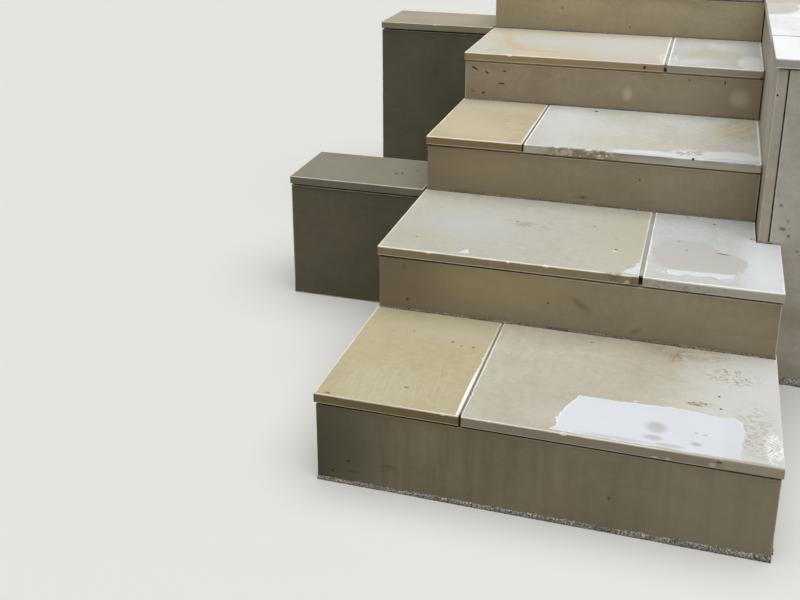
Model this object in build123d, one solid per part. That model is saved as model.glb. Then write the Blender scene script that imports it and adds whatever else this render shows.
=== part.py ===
from build123d import *
import os

# A garden flight of five steps: sawn slabs on mortar over a concrete core, with a
# clad retaining wall on the right and two low planter walls on the left.
# X runs along the risers, Y runs up the flight and Z is up, all in millimetres.
# Places are measured from the left flank, the lowest riser and the ground, and the
# finished pieces are then moved so that the origin is under the middle of the whole.

# Driving dimensions: the flight
STEP_COUNT = 5
CLEAR_WIDTH = 900.0                              # over both flanks of the lowest steps
RISES = (205.0, 156.0, 151.0, 143.0, 150.0)      # as built, a little uneven
GOING = 420.0                                    # from one riser face to the next
NOSING = 5.0                                     # tread past the riser under it
SIDE_LAP = 3.0                                   # tread past the flank slabs
LONG_TILES = (598.0, 602.0, 588.0, 582.0, 591.0)  # the longer tile of each tread
TILE_JOINTS = (5.0, 9.0, 5.0, 8.0, 6.0)          # between the two tiles of each tread
BED = 25.0                                       # mortar under a tread

# Driving dimensions: slabs and joints
SLAB = 22.0                                      # every sawn slab
ARRIS = 1.5                                      # eased edge of an outer face
COPING_JOINT = 5.0                               # between coping slabs
SHADOW_JOINT = 6.0                               # over the top of a standing slab
UPRIGHT_JOINT = 4.0                              # between slabs that stand side by side
POINTING = 2.0                                   # filled joint below the slabs' faces
OPEN_END = 10.0                                  # where the grout is lost at a nosing
SHADOW_RECESS = 8.0                              # mortar behind the faces of a shadow joint
FLANK_SLABS = (3, 2, 2, 1, 1)                    # in each step's left flank, none over 900 long
WORN_CORNER = 9.0                                # rounded lower corner of one tile

# Driving dimensions: the retaining wall
WALL_STEP = 3                                    # the first step that stands beside it
WALL_LEAD = 138.0                                # its face in front of that step's riser
WALL_INSET = 48.0                                # its cheek, inside the lower steps' right flank
WALL_CORE = 250.0
WALL_BAY = 600.0                                 # one slab on the front face
COPING_LAP = 8.0
COPING_CORNER = 6.0                              # rounding of its outer corner, in plan
FIRST_COPING = 515.0                             # first slab behind the corner slab
CHEEK_SLABS = 3

# Driving dimensions: the planter walls
PLANTER_STEPS = {"lower_planter": 3, "upper_planter": 5}   # riser that each is in line with
PLANTER_LENGTH = 400.0
PLANTER_CORE = 215.0


def riser_face(step):
    """Distance up the flight to the face of a step's riser, counted from one."""
    return (step - 1) * GOING


def level(step):
    """Height of a tread's top face, with the ground as step zero."""
    return sum(RISES[:step])


def underside(step):
    """Height of a tread's lower face."""
    return level(step) - SLAB


BACK = riser_face(STEP_COUNT + 1) + SLAB
TOP = level(STEP_COUNT)
WALL_FACE = riser_face(WALL_STEP) - WALL_LEAD
WALL_SIDE = CLEAR_WIDTH - WALL_INSET
WALL_END = WALL_SIDE + SLAB + UPRIGHT_JOINT + WALL_BAY
CHEEK_BACK = WALL_SIDE + SLAB + WALL_CORE
COPING_SIDE = WALL_SIDE - COPING_LAP
TILE_END = WALL_SIDE - UPRIGHT_JOINT

MIDDLE = ((WALL_END - PLANTER_LENGTH) / 2, (BACK - NOSING) / 2)
to_frame = Pos(-MIDDLE[0], -MIDDLE[1], 0)


def block(x0, x1, y0, y1, z0, z1):
    """A squared block between two opposite corners."""
    corner = (Align.MIN, Align.MIN, Align.MIN)
    return Pos(x0, y0, z0) * Box(x1 - x0, y1 - y0, z1 - z0, align=corner)


def layer(left, front, back, wide, narrow, bottom, top):
    """A level layer of the flight: out to wide before the wall's face and to narrow beside it."""
    if back <= WALL_FACE:
        corners = [(left, front), (wide, front), (wide, back), (left, back)]
    elif front >= WALL_FACE:
        corners = [(left, front), (narrow, front), (narrow, back), (left, back)]
    else:
        corners = [(left, front), (wide, front), (wide, WALL_FACE)]
        corners += [(narrow, WALL_FACE), (narrow, back), (left, back)]
    plan = make_face(Polyline(*corners, close=True))
    return extrude(Pos(0, 0, bottom) * plan, top - bottom, dir=(0, 0, 1))


def eased(slab, outward):
    """Eases every edge of the face that looks outward."""
    face = slab.faces().sort_by(Axis((0, 0, 0), outward))[-1]
    return chamfer(face.edges(), ARRIS)


def eased_nosing(tile):
    """Eases a tile's top edges and the lower edge of its front."""
    top_edges = tile.faces().sort_by(Axis.Z)[-1].edges()
    front_face = tile.faces().sort_by(Axis.Y)[0]
    lower_edge = front_face.edges().sort_by(Axis.Z)[0]
    return chamfer(top_edges + [lower_edge], ARRIS)


def row(start, end, count, joint):
    """Start and end of each of count equal lengths, with a joint between neighbours."""
    length = (end - start - (count - 1) * joint) / count
    return [(start + i * (length + joint), start + i * (length + joint) + length) for i in range(count)]


def save(name, solids):
    """Moves a node's solids into the part's frame and writes them to one file."""
    placed = [to_frame * solid for solid in solids]
    node = placed[0] if len(placed) == 1 else Compound(placed)
    node.label = name
    export_step(node, os.path.join("parts", name + ".step"))


def right_end(step, beside_wall):
    """Right end of a step's slabs: the flank on the lowest steps, or beside the wall."""
    return CLEAR_WIDTH if step < WALL_STEP else beside_wall


def core_course(step):
    """One course of the concrete core, from behind its riser to the back of the flight."""
    bottom = 0.0 if step == 1 else underside(step - 1) - BED
    front = riser_face(step) + SLAB
    return layer(SLAB, front, BACK, CLEAR_WIDTH - SLAB, WALL_SIDE, bottom, underside(step) - BED)


def mortar_bed(step):
    """The bed under a tread, with a thin lip that runs out over the slabs standing round it."""
    front = riser_face(step)
    back = riser_face(step + 1) + SLAB
    top = underside(step)
    bed = layer(SLAB, front + SLAB, back, CLEAR_WIDTH - SLAB, WALL_SIDE, top - BED, top)
    lip_wide = CLEAR_WIDTH - SHADOW_RECESS
    lip_narrow = TILE_END - SHADOW_RECESS
    lip = layer(SHADOW_RECESS, front + SHADOW_RECESS, back, lip_wide, lip_narrow, top - SHADOW_JOINT, top)
    return bed + lip


def riser(step):
    """One long slab on edge, standing on the tread below."""
    y = riser_face(step)
    slab = block(0, right_end(step, TILE_END), y, y + SLAB, level(step - 1), underside(step) - SHADOW_JOINT)
    return eased(slab, (0, -1, 0))


def tile_ends(step):
    """The four ends, from left to right, of a tread's two tiles: the joint changes side each step."""
    beside_wall = COPING_SIDE - UPRIGHT_JOINT if step == STEP_COUNT else TILE_END
    left = -SIDE_LAP
    right = right_end(step, beside_wall) + (SIDE_LAP if step < WALL_STEP else 0)
    long_tile = LONG_TILES[step - 1]
    joint = TILE_JOINTS[step - 1]
    if step % 2 == 1:
        return left, right - long_tile - joint, right - long_tile, right
    return left, left + long_tile, left + long_tile + joint, right


def tread_tiles(step):
    """A tread's left and right tiles: the right one is notched where it meets the wall's corner."""
    x0, x1, x2, x3 = tile_ends(step)
    front = riser_face(step) - NOSING
    back = riser_face(step + 1) + SLAB
    left = block(x0, x1, front, back, underside(step), level(step))
    right = block(x2, x3, front, back, underside(step), level(step))
    if front < WALL_FACE < back:
        notch = block(TILE_END, x3, WALL_FACE - UPRIGHT_JOINT, back, underside(step), level(step))
        right = right - notch
    return eased_nosing(left), eased_nosing(right)


def worn(tile):
    """Rounds the lower right corner of a tile, where it has been knocked."""
    edges = tile.edges().filter_by(Axis.Y).group_by(Axis.Z)[0]
    return fillet(edges.sort_by(Axis.X)[-1], WORN_CORNER)


def tread_joint(step):
    """The grout between a tread's two tiles, lost for a little way at the nosing."""
    _, x1, x2, _ = tile_ends(step)
    front = riser_face(step) - NOSING + OPEN_END
    back = riser_face(step + 1) + SLAB
    return block(x1, x2, front, back, underside(step), level(step) - POINTING)


def flank(step, x0, x1, end, count, outward):
    """The standing slabs that close one side of a step, from behind its riser to end."""
    start = riser_face(step) + SLAB
    bottom = 0.0 if step == 1 else underside(step - 1)
    spans = row(start, end, count, UPRIGHT_JOINT)
    return [eased(block(x0, x1, a, b, bottom, underside(step) - SHADOW_JOINT), outward) for a, b in spans]


def wall_core():
    """The wall's blockwork: one mass, with a leg along the front and one beside the steps."""
    x0 = WALL_SIDE + SLAB
    y0 = WALL_FACE + SLAB
    y1 = y0 + WALL_CORE
    corners = [(x0, y0), (WALL_END, y0), (WALL_END, y1), (CHEEK_BACK, y1), (CHEEK_BACK, BACK), (x0, BACK)]
    return extrude(make_face(Polyline(*corners, close=True)), TOP - SLAB, dir=(0, 0, 1))


def wall_front_slab():
    """One bay of cladding on the wall's front, beside the edge of the cheek's first slab."""
    slab = block(WALL_END - WALL_BAY, WALL_END, WALL_FACE, WALL_FACE + SLAB, 0, TOP - SLAB - SHADOW_JOINT)
    return eased(slab, (0, -1, 0))


def cheek_slabs():
    """The cladding beside the steps, whose first slab shows its edge on the wall's front."""
    height = TOP - SLAB - SHADOW_JOINT
    spans = row(WALL_FACE, BACK, CHEEK_SLABS, UPRIGHT_JOINT)
    return [eased(block(WALL_SIDE, WALL_SIDE + SLAB, a, b, 0, height), (-1, 0, 0)) for a, b in spans]


def coping_starts():
    """Distances up the flight to the front of each coping slab."""
    corner_back = WALL_FACE + SLAB + WALL_CORE
    first = corner_back + COPING_JOINT
    return WALL_FACE - COPING_LAP, first, first + FIRST_COPING + COPING_JOINT


def corner_coping():
    """The slab over the wall's front, with its outer corner rounded in plan."""
    front, behind, _ = coping_starts()
    slab = block(COPING_SIDE, WALL_END, front, behind - COPING_JOINT, TOP - SLAB, TOP)
    corner = slab.edges().filter_by(Axis.Z).sort_by(Axis.Y)[:2].sort_by(Axis.X)[0]
    return eased_nosing(fillet(corner, COPING_CORNER))


def cheek_coping():
    """The slabs over the leg beside the steps."""
    _, first, second = coping_starts()
    spans = ((first, second - COPING_JOINT), (second, BACK))
    return [eased(block(COPING_SIDE, CHEEK_BACK, a, b, TOP - SLAB, TOP), (0, 0, 1)) for a, b in spans]


def coping_joints():
    """The grout in front of each slab over the leg beside the steps."""
    x0 = COPING_SIDE + POINTING
    fronts = coping_starts()[1:]
    return [block(x0, CHEEK_BACK, y - COPING_JOINT, y, TOP - SLAB, TOP - POINTING) for y in fronts]


def planter_wall(step):
    """A low wall's core, face slab and coping, in line with a riser and level with the tread before it."""
    face = riser_face(step)
    top = level(step - 1)
    core_back = face + SLAB + PLANTER_CORE
    core = block(-PLANTER_LENGTH, 0, face + SLAB, core_back, 0, top - SLAB)
    slab = eased(block(-PLANTER_LENGTH, 0, face, face + SLAB, 0, top - SLAB - SHADOW_JOINT), (0, -1, 0))
    coping_end = -SIDE_LAP - SHADOW_JOINT
    coping = block(-PLANTER_LENGTH, coping_end, face - COPING_LAP, core_back, top - SLAB, top)
    return {"core": core, "face_slab": slab, "coping": eased_nosing(coping)}


os.makedirs("parts", exist_ok=True)
steps = range(1, STEP_COUNT + 1)

for step in steps:
    save(f"core_course_{step}", [core_course(step)])
    save(f"riser_{step}", [riser(step)])
    left_tile, right_tile = tread_tiles(step)
    if step == STEP_COUNT - 1:
        right_tile = worn(right_tile)
    save(f"tread_{step}_left", [left_tile])
    save(f"tread_{step}_right", [right_tile])
    save(f"flank_left_{step}", flank(step, 0, SLAB, BACK, FLANK_SLABS[step - 1], (-1, 0, 0)))
    if step < WALL_STEP:
        save(f"flank_right_{step}", flank(step, CLEAR_WIDTH - SLAB, CLEAR_WIDTH, WALL_FACE, 1, (1, 0, 0)))

save("mortar_beds", [mortar_bed(step) for step in steps])

save("wall_core", [wall_core()])
save("wall_front_slab", [wall_front_slab()])
for number, slab in enumerate(cheek_slabs(), start=1):
    save(f"wall_cheek_slab_{number}", [slab])

for number, slab in enumerate([corner_coping()] + cheek_coping(), start=1):
    save(f"wall_coping_{number}", [slab])

save("tile_joints", [tread_joint(step) for step in steps] + coping_joints())

for name, step in PLANTER_STEPS.items():
    for piece, solid in planter_wall(step).items():
        save(f"{name}_{piece}", [solid])
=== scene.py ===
# %% [markdown]
# # Garden steps clad in sawn sandstone
#
# Five steps climb beside a low retaining wall. Every face is a sawn slab 22 mm thick, laid on mortar over
# a concrete core. The slabs are what the eye sees, so this lesson spends its time on them: their worn
# arrises, their cloudy colour, the joints between them, and the rain that lies on the lower treads.
#
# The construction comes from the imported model. It is loaded first, and every piece below reads its place
# from it.

# %% Load the frame
import math

import bpy
import numpy as np
from mathutils import Matrix, Vector


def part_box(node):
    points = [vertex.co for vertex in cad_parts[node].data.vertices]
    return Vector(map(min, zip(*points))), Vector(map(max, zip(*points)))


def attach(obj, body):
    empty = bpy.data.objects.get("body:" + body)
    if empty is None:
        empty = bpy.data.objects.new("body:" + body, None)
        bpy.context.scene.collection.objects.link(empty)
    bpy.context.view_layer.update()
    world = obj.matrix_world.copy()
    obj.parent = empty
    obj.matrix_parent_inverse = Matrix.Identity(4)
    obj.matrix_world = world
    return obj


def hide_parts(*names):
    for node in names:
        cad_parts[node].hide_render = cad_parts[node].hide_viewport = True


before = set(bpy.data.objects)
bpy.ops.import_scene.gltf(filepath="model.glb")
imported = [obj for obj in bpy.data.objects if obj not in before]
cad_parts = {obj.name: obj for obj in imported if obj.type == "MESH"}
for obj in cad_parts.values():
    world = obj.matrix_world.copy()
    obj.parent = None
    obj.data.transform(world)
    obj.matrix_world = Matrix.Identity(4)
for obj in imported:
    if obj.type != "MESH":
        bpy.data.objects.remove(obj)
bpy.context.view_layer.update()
print("pieces in the frame:", len(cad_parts))

# %% [markdown]
# Blender counts in metres and a mason in millimetres. The shapes below are worked out in millimetres and
# turned into metres as they go into a mesh. Marks are measured on the flight itself: x from the left
# flank, y up the flight from the lowest riser's face, z up from its foot.

# %% Units and places
MM = 0.001


def box_mm(node):
    """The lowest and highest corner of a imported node, as two rows in millimetres."""
    return np.array([list(corner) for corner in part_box(node)]) / MM


FLIGHT_ORIGIN = box_mm("riser_1")[0] * (1, 1, 0)


def flight(x, y, z):
    """A place on the flight, in the frame's millimetres: the flight's origin plus (x, y, z)."""
    return FLIGHT_ORIGIN + np.array([x, y, z], float)


def front_and_top(node):
    """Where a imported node's front face and top face are on the flight, after a 0 for its width."""
    lo, hi = box_mm(node) - FLIGHT_ORIGIN
    return 0.0, lo[1], hi[2]


print("flight origin in the frame, mm:", FLIGHT_ORIGIN.round(1))

# %% [markdown]
# The camera stands before the lowest step, a little right of its middle, at chest height, and looks down
# to the left. A level horizon and a small downward shift give the framing: the shift slides the picture
# without tilting the lens, so upright edges keep their slight convergence.

# %% Camera
CAMERA_AT = (708.5, -1721.5, 1291.9)
CAMERA_TURN = math.radians(17.06)
CAMERA_DOWN = math.radians(18.82)
FOCAL_MM = 46.56
SHIFT_DOWN = -0.15

camera = bpy.data.objects.new("camera", bpy.data.cameras.new("camera"))
camera.data.lens = FOCAL_MM
camera.data.sensor_width = 36.0
camera.data.shift_y = SHIFT_DOWN
camera.data.clip_start = 0.01
camera.matrix_world = (
    Matrix.Translation(Vector(flight(*CAMERA_AT) * MM))
    @ Matrix.Rotation(CAMERA_TURN, 4, "Z")
    @ Matrix.Rotation(math.pi / 2 - CAMERA_DOWN, 4, "X")
)
bpy.context.scene.collection.objects.link(camera)
bpy.context.scene.camera = camera
print("camera height, mm:", round(camera.matrix_world.translation.z / MM))

# %% [markdown]
# Materials are node trees. One helper adds a node, sets it up, links what feeds it and hands back one of
# its outputs, so a finish reads from top to bottom as a recipe. Colours are picked in sRGB hex, as a
# paint program shows them, and Blender mixes light in linear values, so one function converts them.

# %% Node and colour helpers
def linear(hex_colour):
    """sRGB hex to linear RGBA: below 0.04045 a channel is divided by 12.92, above it is
    ((c+0.055)/1.055)^2.4."""
    channels = [int(hex_colour[i:i + 2], 16) / 255 for i in (1, 3, 5)]
    return (*[c / 12.92 if c <= 0.04045 else ((c + 0.055) / 1.055) ** 2.4 for c in channels], 1.0)


def add(tree, kind, sockets=None, out=0, **settings):
    """Adds a node with its settings. A socket gets a value, a hex colour or another node's output."""
    node = tree.nodes.new(kind)
    for name, value in settings.items():
        setattr(node, name, value)
    for key, value in (sockets or {}).items():
        if isinstance(value, bpy.types.NodeSocket):
            tree.links.new(value, node.inputs[key])
        else:
            node.inputs[key].default_value = linear(value) if isinstance(value, str) else value
    return node.outputs[out] if len(node.outputs) else None


def new_material(name):
    """An empty node material."""
    material = bpy.data.materials.new(name)
    material.use_nodes = True
    material.node_tree.nodes.clear()
    return material, material.node_tree


def per(size_mm):
    """The texture scale that draws features about size_mm across on metre coordinates."""
    return 1000.0 / size_mm


print("a mid sandstone in linear light:", [round(c, 3) for c in linear("#C4BCA5")[:3]])

# %% [markdown]
# An overcast sky is the light that suits these steps: treads bright, risers in soft shade. A sun lamp 80
# degrees wide stands for it, because it lights a floor evenly however far it runs, where a softbox would
# leave a bright pool. A weak softbox in front opens the risers, and a faint world fills the corners. The
# world is white to the camera and in reflections, so the background stays clean and wet stone has
# something to mirror.

# %% Studio
SKY_WIDTH = math.radians(80)
SKY_STRENGTH = 2.75
SKY_LEAN = math.radians(6)
FRONT_POWER = 5.0
FILL = 0.10
FLOOR_TONE = "#E6E6E3"
FLOOR_GIVES_BACK = "#A8A59C"


def softbox(name, at, aim, side, power):
    """A square area lamp at one place on the flight, turned to face another."""
    lamp = bpy.data.lights.new(name, "AREA")
    lamp.shape = "SQUARE"
    lamp.size = side
    lamp.energy = power
    held = bpy.data.objects.new(name, lamp)
    place = Vector(flight(*at) * MM)
    towards = Vector(flight(*aim) * MM) - place
    held.matrix_world = Matrix.Translation(place) @ towards.to_track_quat("-Z", "Y").to_matrix().to_4x4()
    held.visible_camera = False
    bpy.context.scene.collection.objects.link(held)


cloudy_sky = bpy.data.lights.new("cloudy_sky", "SUN")
cloudy_sky.angle = SKY_WIDTH
cloudy_sky.energy = SKY_STRENGTH
overhead = bpy.data.objects.new("cloudy_sky", cloudy_sky)
overhead.rotation_euler = (SKY_LEAN, SKY_LEAN, 0)
bpy.context.scene.collection.objects.link(overhead)
softbox("front_softbox", (900, -3200, 1500), (560, 700, 400), 2.4, FRONT_POWER)

world = bpy.data.worlds.new("studio")
bpy.context.scene.world = world
world.use_nodes = True
tree = world.node_tree
tree.nodes.clear()
ray = add(tree, "ShaderNodeLightPath").node.outputs
seen = add(tree, "ShaderNodeMath", {0: ray["Is Camera Ray"], 1: ray["Is Glossy Ray"]}, operation="MAXIMUM")
seen = add(tree, "ShaderNodeMath", {0: seen, 1: ray["Is Transmission Ray"]}, operation="MAXIMUM")
strength = add(tree, "ShaderNodeMapRange", {"Value": seen, "To Min": FILL, "To Max": 1.0})
sky = add(tree, "ShaderNodeBackground", {"Color": (1, 1, 1, 1), "Strength": strength})
add(tree, "ShaderNodeOutputWorld", {"Surface": sky})

view = bpy.context.scene.view_settings
view.view_transform = "Standard"

# %% [markdown]
# The floor is a plain pale disc, level with the foot of the steps. It only has to catch the
# shadow. A floor that is white in the picture would also throw a lot of light up at the risers, which
# dull stone doesn't, so it is darker for every ray but the camera's.

# %% Floor
FLOOR_RADIUS = 14000.0
turn = np.linspace(0, 2 * math.pi, 96, endpoint=False)
rim = np.stack([np.cos(turn), np.sin(turn), 0 * turn], axis=1) * FLOOR_RADIUS * MM
floor_mesh = bpy.data.meshes.new("floor")
floor_mesh.from_pydata(rim.tolist(), [], [list(range(len(rim)))])
floor = bpy.data.objects.new("floor", floor_mesh)
bpy.context.scene.collection.objects.link(floor)
floor_material, tree = new_material("painted_studio_floor")
by_camera = add(tree, "ShaderNodeLightPath")
shade = add(tree, "ShaderNodeMix", {0: by_camera, 6: FLOOR_GIVES_BACK, 7: FLOOR_TONE}, out=2,
            data_type="RGBA")
shader = add(tree, "ShaderNodeBsdfPrincipled", {
    "Base Color": shade, "Roughness": 0.9, "Specular IOR Level": 0.1,
})
add(tree, "ShaderNodeOutputMaterial", {"Surface": shader})
floor_mesh.materials.append(floor_material)
print("floor radius, m:", FLOOR_RADIUS * MM)

# %% [markdown]
# ## The stone
#
# Sawn sandstone is sand grains in a fine cement, cut flat by a wet saw. It has almost no gloss when dry,
# broad clouds of cream, ochre and grey where iron has travelled through the bed, thin streaks along the
# bedding, fine grain and a few small pits. The recipe below layers exactly those, each at its real size.
# Two things are more particular: the eased arris is paler than the face, partly because it is fresh and
# partly as a painted highlight of the sky it catches, and each slab has marks of its own, such as rain,
# splashes and rust-coloured swirls. The pale sheen of some wet marks is a painted reflection of the sky.
# A mark is a ragged ellipse at a measured place.

# %% Marks on a slab
FAR = 5000.0
SMALL = 14.0            # marks under this half size are made ragged by the finer of two noises
RAGGED_MM = (45.0, 7.0)
WET_SMOOTHER = 0.32     # how much a wet mark takes off the roughness
STROKE_SOFT = 0.03      # how softly a stroke ends


def blotch(tree, place, ragged_noise, at, half, turn=0.0, soft=0.3, ragged=0.5, share=1.0):
    """A mask of one ragged ellipse: the place is moved to its centre and divided by its half sizes, a
    little noise is added, and the mask falls from share to 0 as the length of that passes 1, over the
    width soft."""
    spun = (0, 0, math.radians(turn)) if half[1] < FAR else (0, math.radians(-turn), 0)
    local = add(tree, "ShaderNodeMapping", {
        "Vector": place, "Location": flight(*at) * MM, "Rotation": spun, "Scale": np.array(half) * MM,
    }, vector_type="TEXTURE")
    shaken = add(tree, "ShaderNodeVectorMath", {0: ragged_noise, 1: (ragged,) * 3, 2: local},
                 operation="MULTIPLY_ADD")
    reach = add(tree, "ShaderNodeVectorMath", {0: shaken}, out=1, operation="LENGTH")
    return add(tree, "ShaderNodeMapRange", {
        "Value": reach, "From Min": 1 + soft, "From Max": 1 - soft, "To Min": 0.0, "To Max": share,
    }, interpolation_type="SMOOTHSTEP")


print("a mark this far deep reaches through everything, mm:", FAR)

# %% [markdown]
# Some stains aren't one blot but many strokes: the scratches of a saw, splashes, or dirt in the hollows
# of a rubbed face. A second mask of stretched noise breaks a mark up into such strokes. Then every mark
# is laid over the ones before it, as a painter would, by one Mix node.

# %% Strokes, and laying the marks
def brushed(tree, place, across, stretch, turn, cover, upright):
    """A mask of strokes: noise of one size across, drawn out stretch times along its turn, and kept where
    it is above 0.5 + 0.35(0.5 - cover), which leaves about that share of the surface."""
    spun = (0, math.radians(-turn), 0) if upright else (0, 0, math.radians(turn))
    drawn = add(tree, "ShaderNodeMapping", {"Vector": place, "Rotation": spun, "Scale": (stretch, 1, 1)},
                vector_type="TEXTURE")
    noise = add(tree, "ShaderNodeTexNoise", {
        "Vector": drawn, "Scale": per(across), "Detail": 2.0, "Roughness": 0.6,
    })
    level = 0.5 + 0.35 * (0.5 - cover)
    return add(tree, "ShaderNodeMapRange", {
        "Value": noise, "From Min": level - STROKE_SOFT, "From Max": level + STROKE_SOFT,
    })


def marked(tree, place, colour, rough, marks, home=(0.0, 0.0, 0.0)):
    """Lays marks over a colour, one after another. Where a mark leaves a coordinate open, home gives it:
    the slab's own front or top face. A wet mark also makes the surface smoother."""
    shaking = []
    for size in RAGGED_MM:
        noise = add(tree, "ShaderNodeTexNoise", {
            "Vector": place, "Scale": per(size), "Detail": 4.0, "Roughness": 0.65,
        }, out=1)
        shaking.append(add(tree, "ShaderNodeVectorMath", {0: noise, 1: (-0.5, -0.5, -0.5)}, operation="ADD"))
    for mark in marks:
        at = [own if given is None else given for given, own in zip(mark["at"], home)]
        half = mark["half"]
        shape = {key: mark[key] for key in ("turn", "soft", "ragged", "share") if key in mark}
        mask = blotch(tree, place, shaking[sorted(half)[1] < SMALL], at, half, **shape)
        if "strokes" in mark:
            strokes = brushed(tree, place, *mark["strokes"], half[1] >= FAR)
            mask = add(tree, "ShaderNodeMath", {0: mask, 1: strokes}, operation="MULTIPLY")
        colour = add(tree, "ShaderNodeMix", {0: mask, 6: colour, 7: mark["colour"]}, out=2, data_type="RGBA")
        if mark.get("wet"):
            rough = add(tree, "ShaderNodeMath", {0: mask, 1: -WET_SMOOTHER, 2: rough},
                        operation="MULTIPLY_ADD")
    return colour, rough


print("ragged outlines shaken by noises of, mm:", RAGGED_MM)

# %% [markdown]
# Four kinds of mark are enough: on a top face, on a face that looks to the front, on the sawn front edge
# of a tread, and a small knock in that edge. Each is a row of numbers in millimetres: its place, its half
# sizes and its colour. Strokes, where a mark has them, are a stroke's width, how often longer it is, its
# turn and its cover. A painted picture could hold the same marks, but a row of numbers can be read, moved
# and corrected, and it stays sharp at any distance.

# %% Kinds of mark
def on_top(x, y, long, wide, colour, **more):
    """A mark on a slab's top face: it ends a few millimetres down the sides."""
    return dict(at=(x, y, None), half=(long, wide, 4.0), colour=colour, **more)


def on_face(x, z, long, tall, colour, **more):
    """A mark on an upright face that looks to the front: it reaches through any depth."""
    return dict(at=(x, None, z), half=(long, FAR, tall), colour=colour, **more)


def on_edge(x, z, long, colour, **more):
    """A mark on the sawn front edge of a tread only: it dies out a few millimetres behind the edge."""
    return dict(at=(x, None, z), half=(long, 7.0, 40.0), colour=colour, **more)


def spot(x, z, long, tall, colour, **more):
    """A knock or a hole in the front edge: a small ragged body that shows wherever it meets the surface."""
    return dict(at=(x, None, z), half=(long, 6.0, tall), colour=colour, **more)


print("a sample mark:", on_top(214, 291, 3, 2.6, "#3E3226", soft=0.2))

# %% [markdown]
# Stains and shades are what every finish below is made of. A stain lays one colour over another where a
# noise or a height is high enough, and a shade makes the colour lighter and darker by a few percent, as
# grains do. Each is only two nodes: a Map Range that turns a noise into a mask, and a Mix that uses it.

# %% Stains and shades
def stained(tree, colour, mask, low, high, share, stain, **settings):
    """Lays a stain over a colour: its share is 0 where the mask is low and rises to share where it is high."""
    amount = add(tree, "ShaderNodeMapRange", {
        "Value": mask, "From Min": low, "From Max": high, "To Max": share,
    }, **settings)
    return add(tree, "ShaderNodeMix", {0: amount, 6: colour, 7: stain}, out=2, data_type="RGBA")


def shaded(tree, colour, mask, low, high, first, last):
    """Multiplies a colour by a factor that goes from first to last as the mask goes from low to high."""
    factor = add(tree, "ShaderNodeMapRange", {
        "Value": mask, "From Min": low, "From Max": high, "To Min": first, "To Max": last,
    })
    return add(tree, "ShaderNodeMix", {0: 1.0, 6: colour, 7: factor}, out=2, data_type="RGBA",
               blend_type="MULTIPLY")


print("a grain of 3 mm asks for a texture scale of", round(per(3.0)))

# %% [markdown]
# The sizes in stone go from broad to fine. The broad ones come first: clouds as wide as a hand is long,
# streaks along the bedding, and on upright faces the runs that old rain has left. Streaks and runs are
# the same noise, drawn out in one direction by scaling the place that it is read at.

# %% Clouds, beds and runs
CLOUD_MM = 230.0
BED_MM = 34.0
RUN_MM = 22.0
RUN_TONE = "#6E6450"


def clouded(tree, place, tone, cloud, share):
    """Broad soft clouds over one tone. Returns the colour and the noise of the clouds."""
    broad = add(tree, "ShaderNodeTexNoise", {
        "Vector": place, "Scale": per(CLOUD_MM), "Detail": 4.0, "Roughness": 0.55, "Distortion": 0.5,
    })
    return stained(tree, tone, broad, 0.36, 0.68, share, cloud, interpolation_type="SMOOTHSTEP"), broad


def bedded(tree, place, colour, vein, share, lie, tilt):
    """Thin streaks along the bedding: noise drawn out in the direction where lie is small, turned by tilt."""
    along_bed = add(tree, "ShaderNodeMapping", {
        "Vector": place, "Rotation": (0, 0, math.radians(tilt)), "Scale": lie,
    })
    bed = add(tree, "ShaderNodeTexNoise", {
        "Vector": along_bed, "Scale": per(BED_MM), "Detail": 3.0, "Roughness": 0.6, "Distortion": 0.8,
    })
    return stained(tree, colour, bed, 0.48, 0.78, share, vein, interpolation_type="SMOOTHSTEP")


def rained_on(tree, place, colour, share):
    """Runs of old rain: noise drawn out so far upwards that it hardly changes on the way down."""
    hanging = add(tree, "ShaderNodeMapping", {"Vector": place, "Scale": (1, 1, 0.06)})
    runs = add(tree, "ShaderNodeTexNoise", {
        "Vector": hanging, "Scale": per(RUN_MM), "Detail": 4.0, "Roughness": 0.6,
    })
    return stained(tree, colour, runs, 0.45, 0.75, share, RUN_TONE)


print("clouds, beds and runs, mm:", CLOUD_MM, BED_MM, RUN_MM)

# %% [markdown]
# Two more things go onto a slab. Its foot is made darker, most at the very bottom, with a wavy upper
# limit. And soft spots in the stone wash out and leave pits: here a few cells of a Voronoi pattern hold
# one each, and most hold none.

# %% Darker feet and pits
DARK_FOOT_FROM, DARK_FOOT_TO = 115.0, 20.0     # above the foot, from the plain stone to the darkest
DARK_FOOT_TONE = "#8B8069"
PIT_CELL_MM = 75.0
WIDEST_PIT = 0.034                       # its radius, as a share of a cell
PIT_TONE = "#5B5344"


def darkened_foot(tree, coordinates, broad, colour, foot):
    """A darker colour that fades out with height above the foot. The noise of the clouds makes its limit wavy.
    """
    height = add(tree, "ShaderNodeSeparateXYZ", {"Vector": coordinates}, out=2)
    wavy = add(tree, "ShaderNodeMath", {0: broad, 1: 0.06, 2: height}, operation="MULTIPLY_ADD")
    clean, dirty = (foot + DARK_FOOT_FROM) * MM, (foot + DARK_FOOT_TO) * MM
    return stained(tree, colour, wavy, clean, dirty, 0.5, DARK_FOOT_TONE)


def pitted(tree, place, colour):
    """Pits: a point is in one where it is nearer to its cell's centre than the cell's own random radius.
    Returns the colour and the mask of the pits."""
    cells = add(tree, "ShaderNodeTexVoronoi", {"Vector": place, "Scale": per(PIT_CELL_MM)}).node.outputs
    radius = add(tree, "ShaderNodeMapRange", {
        "Value": cells["Color"], "From Min": 0.55, "From Max": 1.0, "To Min": 0.0, "To Max": WIDEST_PIT,
    })
    hole = add(tree, "ShaderNodeMath", {0: cells["Distance"], 1: radius}, operation="LESS_THAN")
    return add(tree, "ShaderNodeMix", {0: hole, 6: colour, 7: PIT_TONE}, out=2, data_type="RGBA"), hole


print("widest pit, mm:", round(2 * WIDEST_PIT * PIT_CELL_MM, 1))

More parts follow.
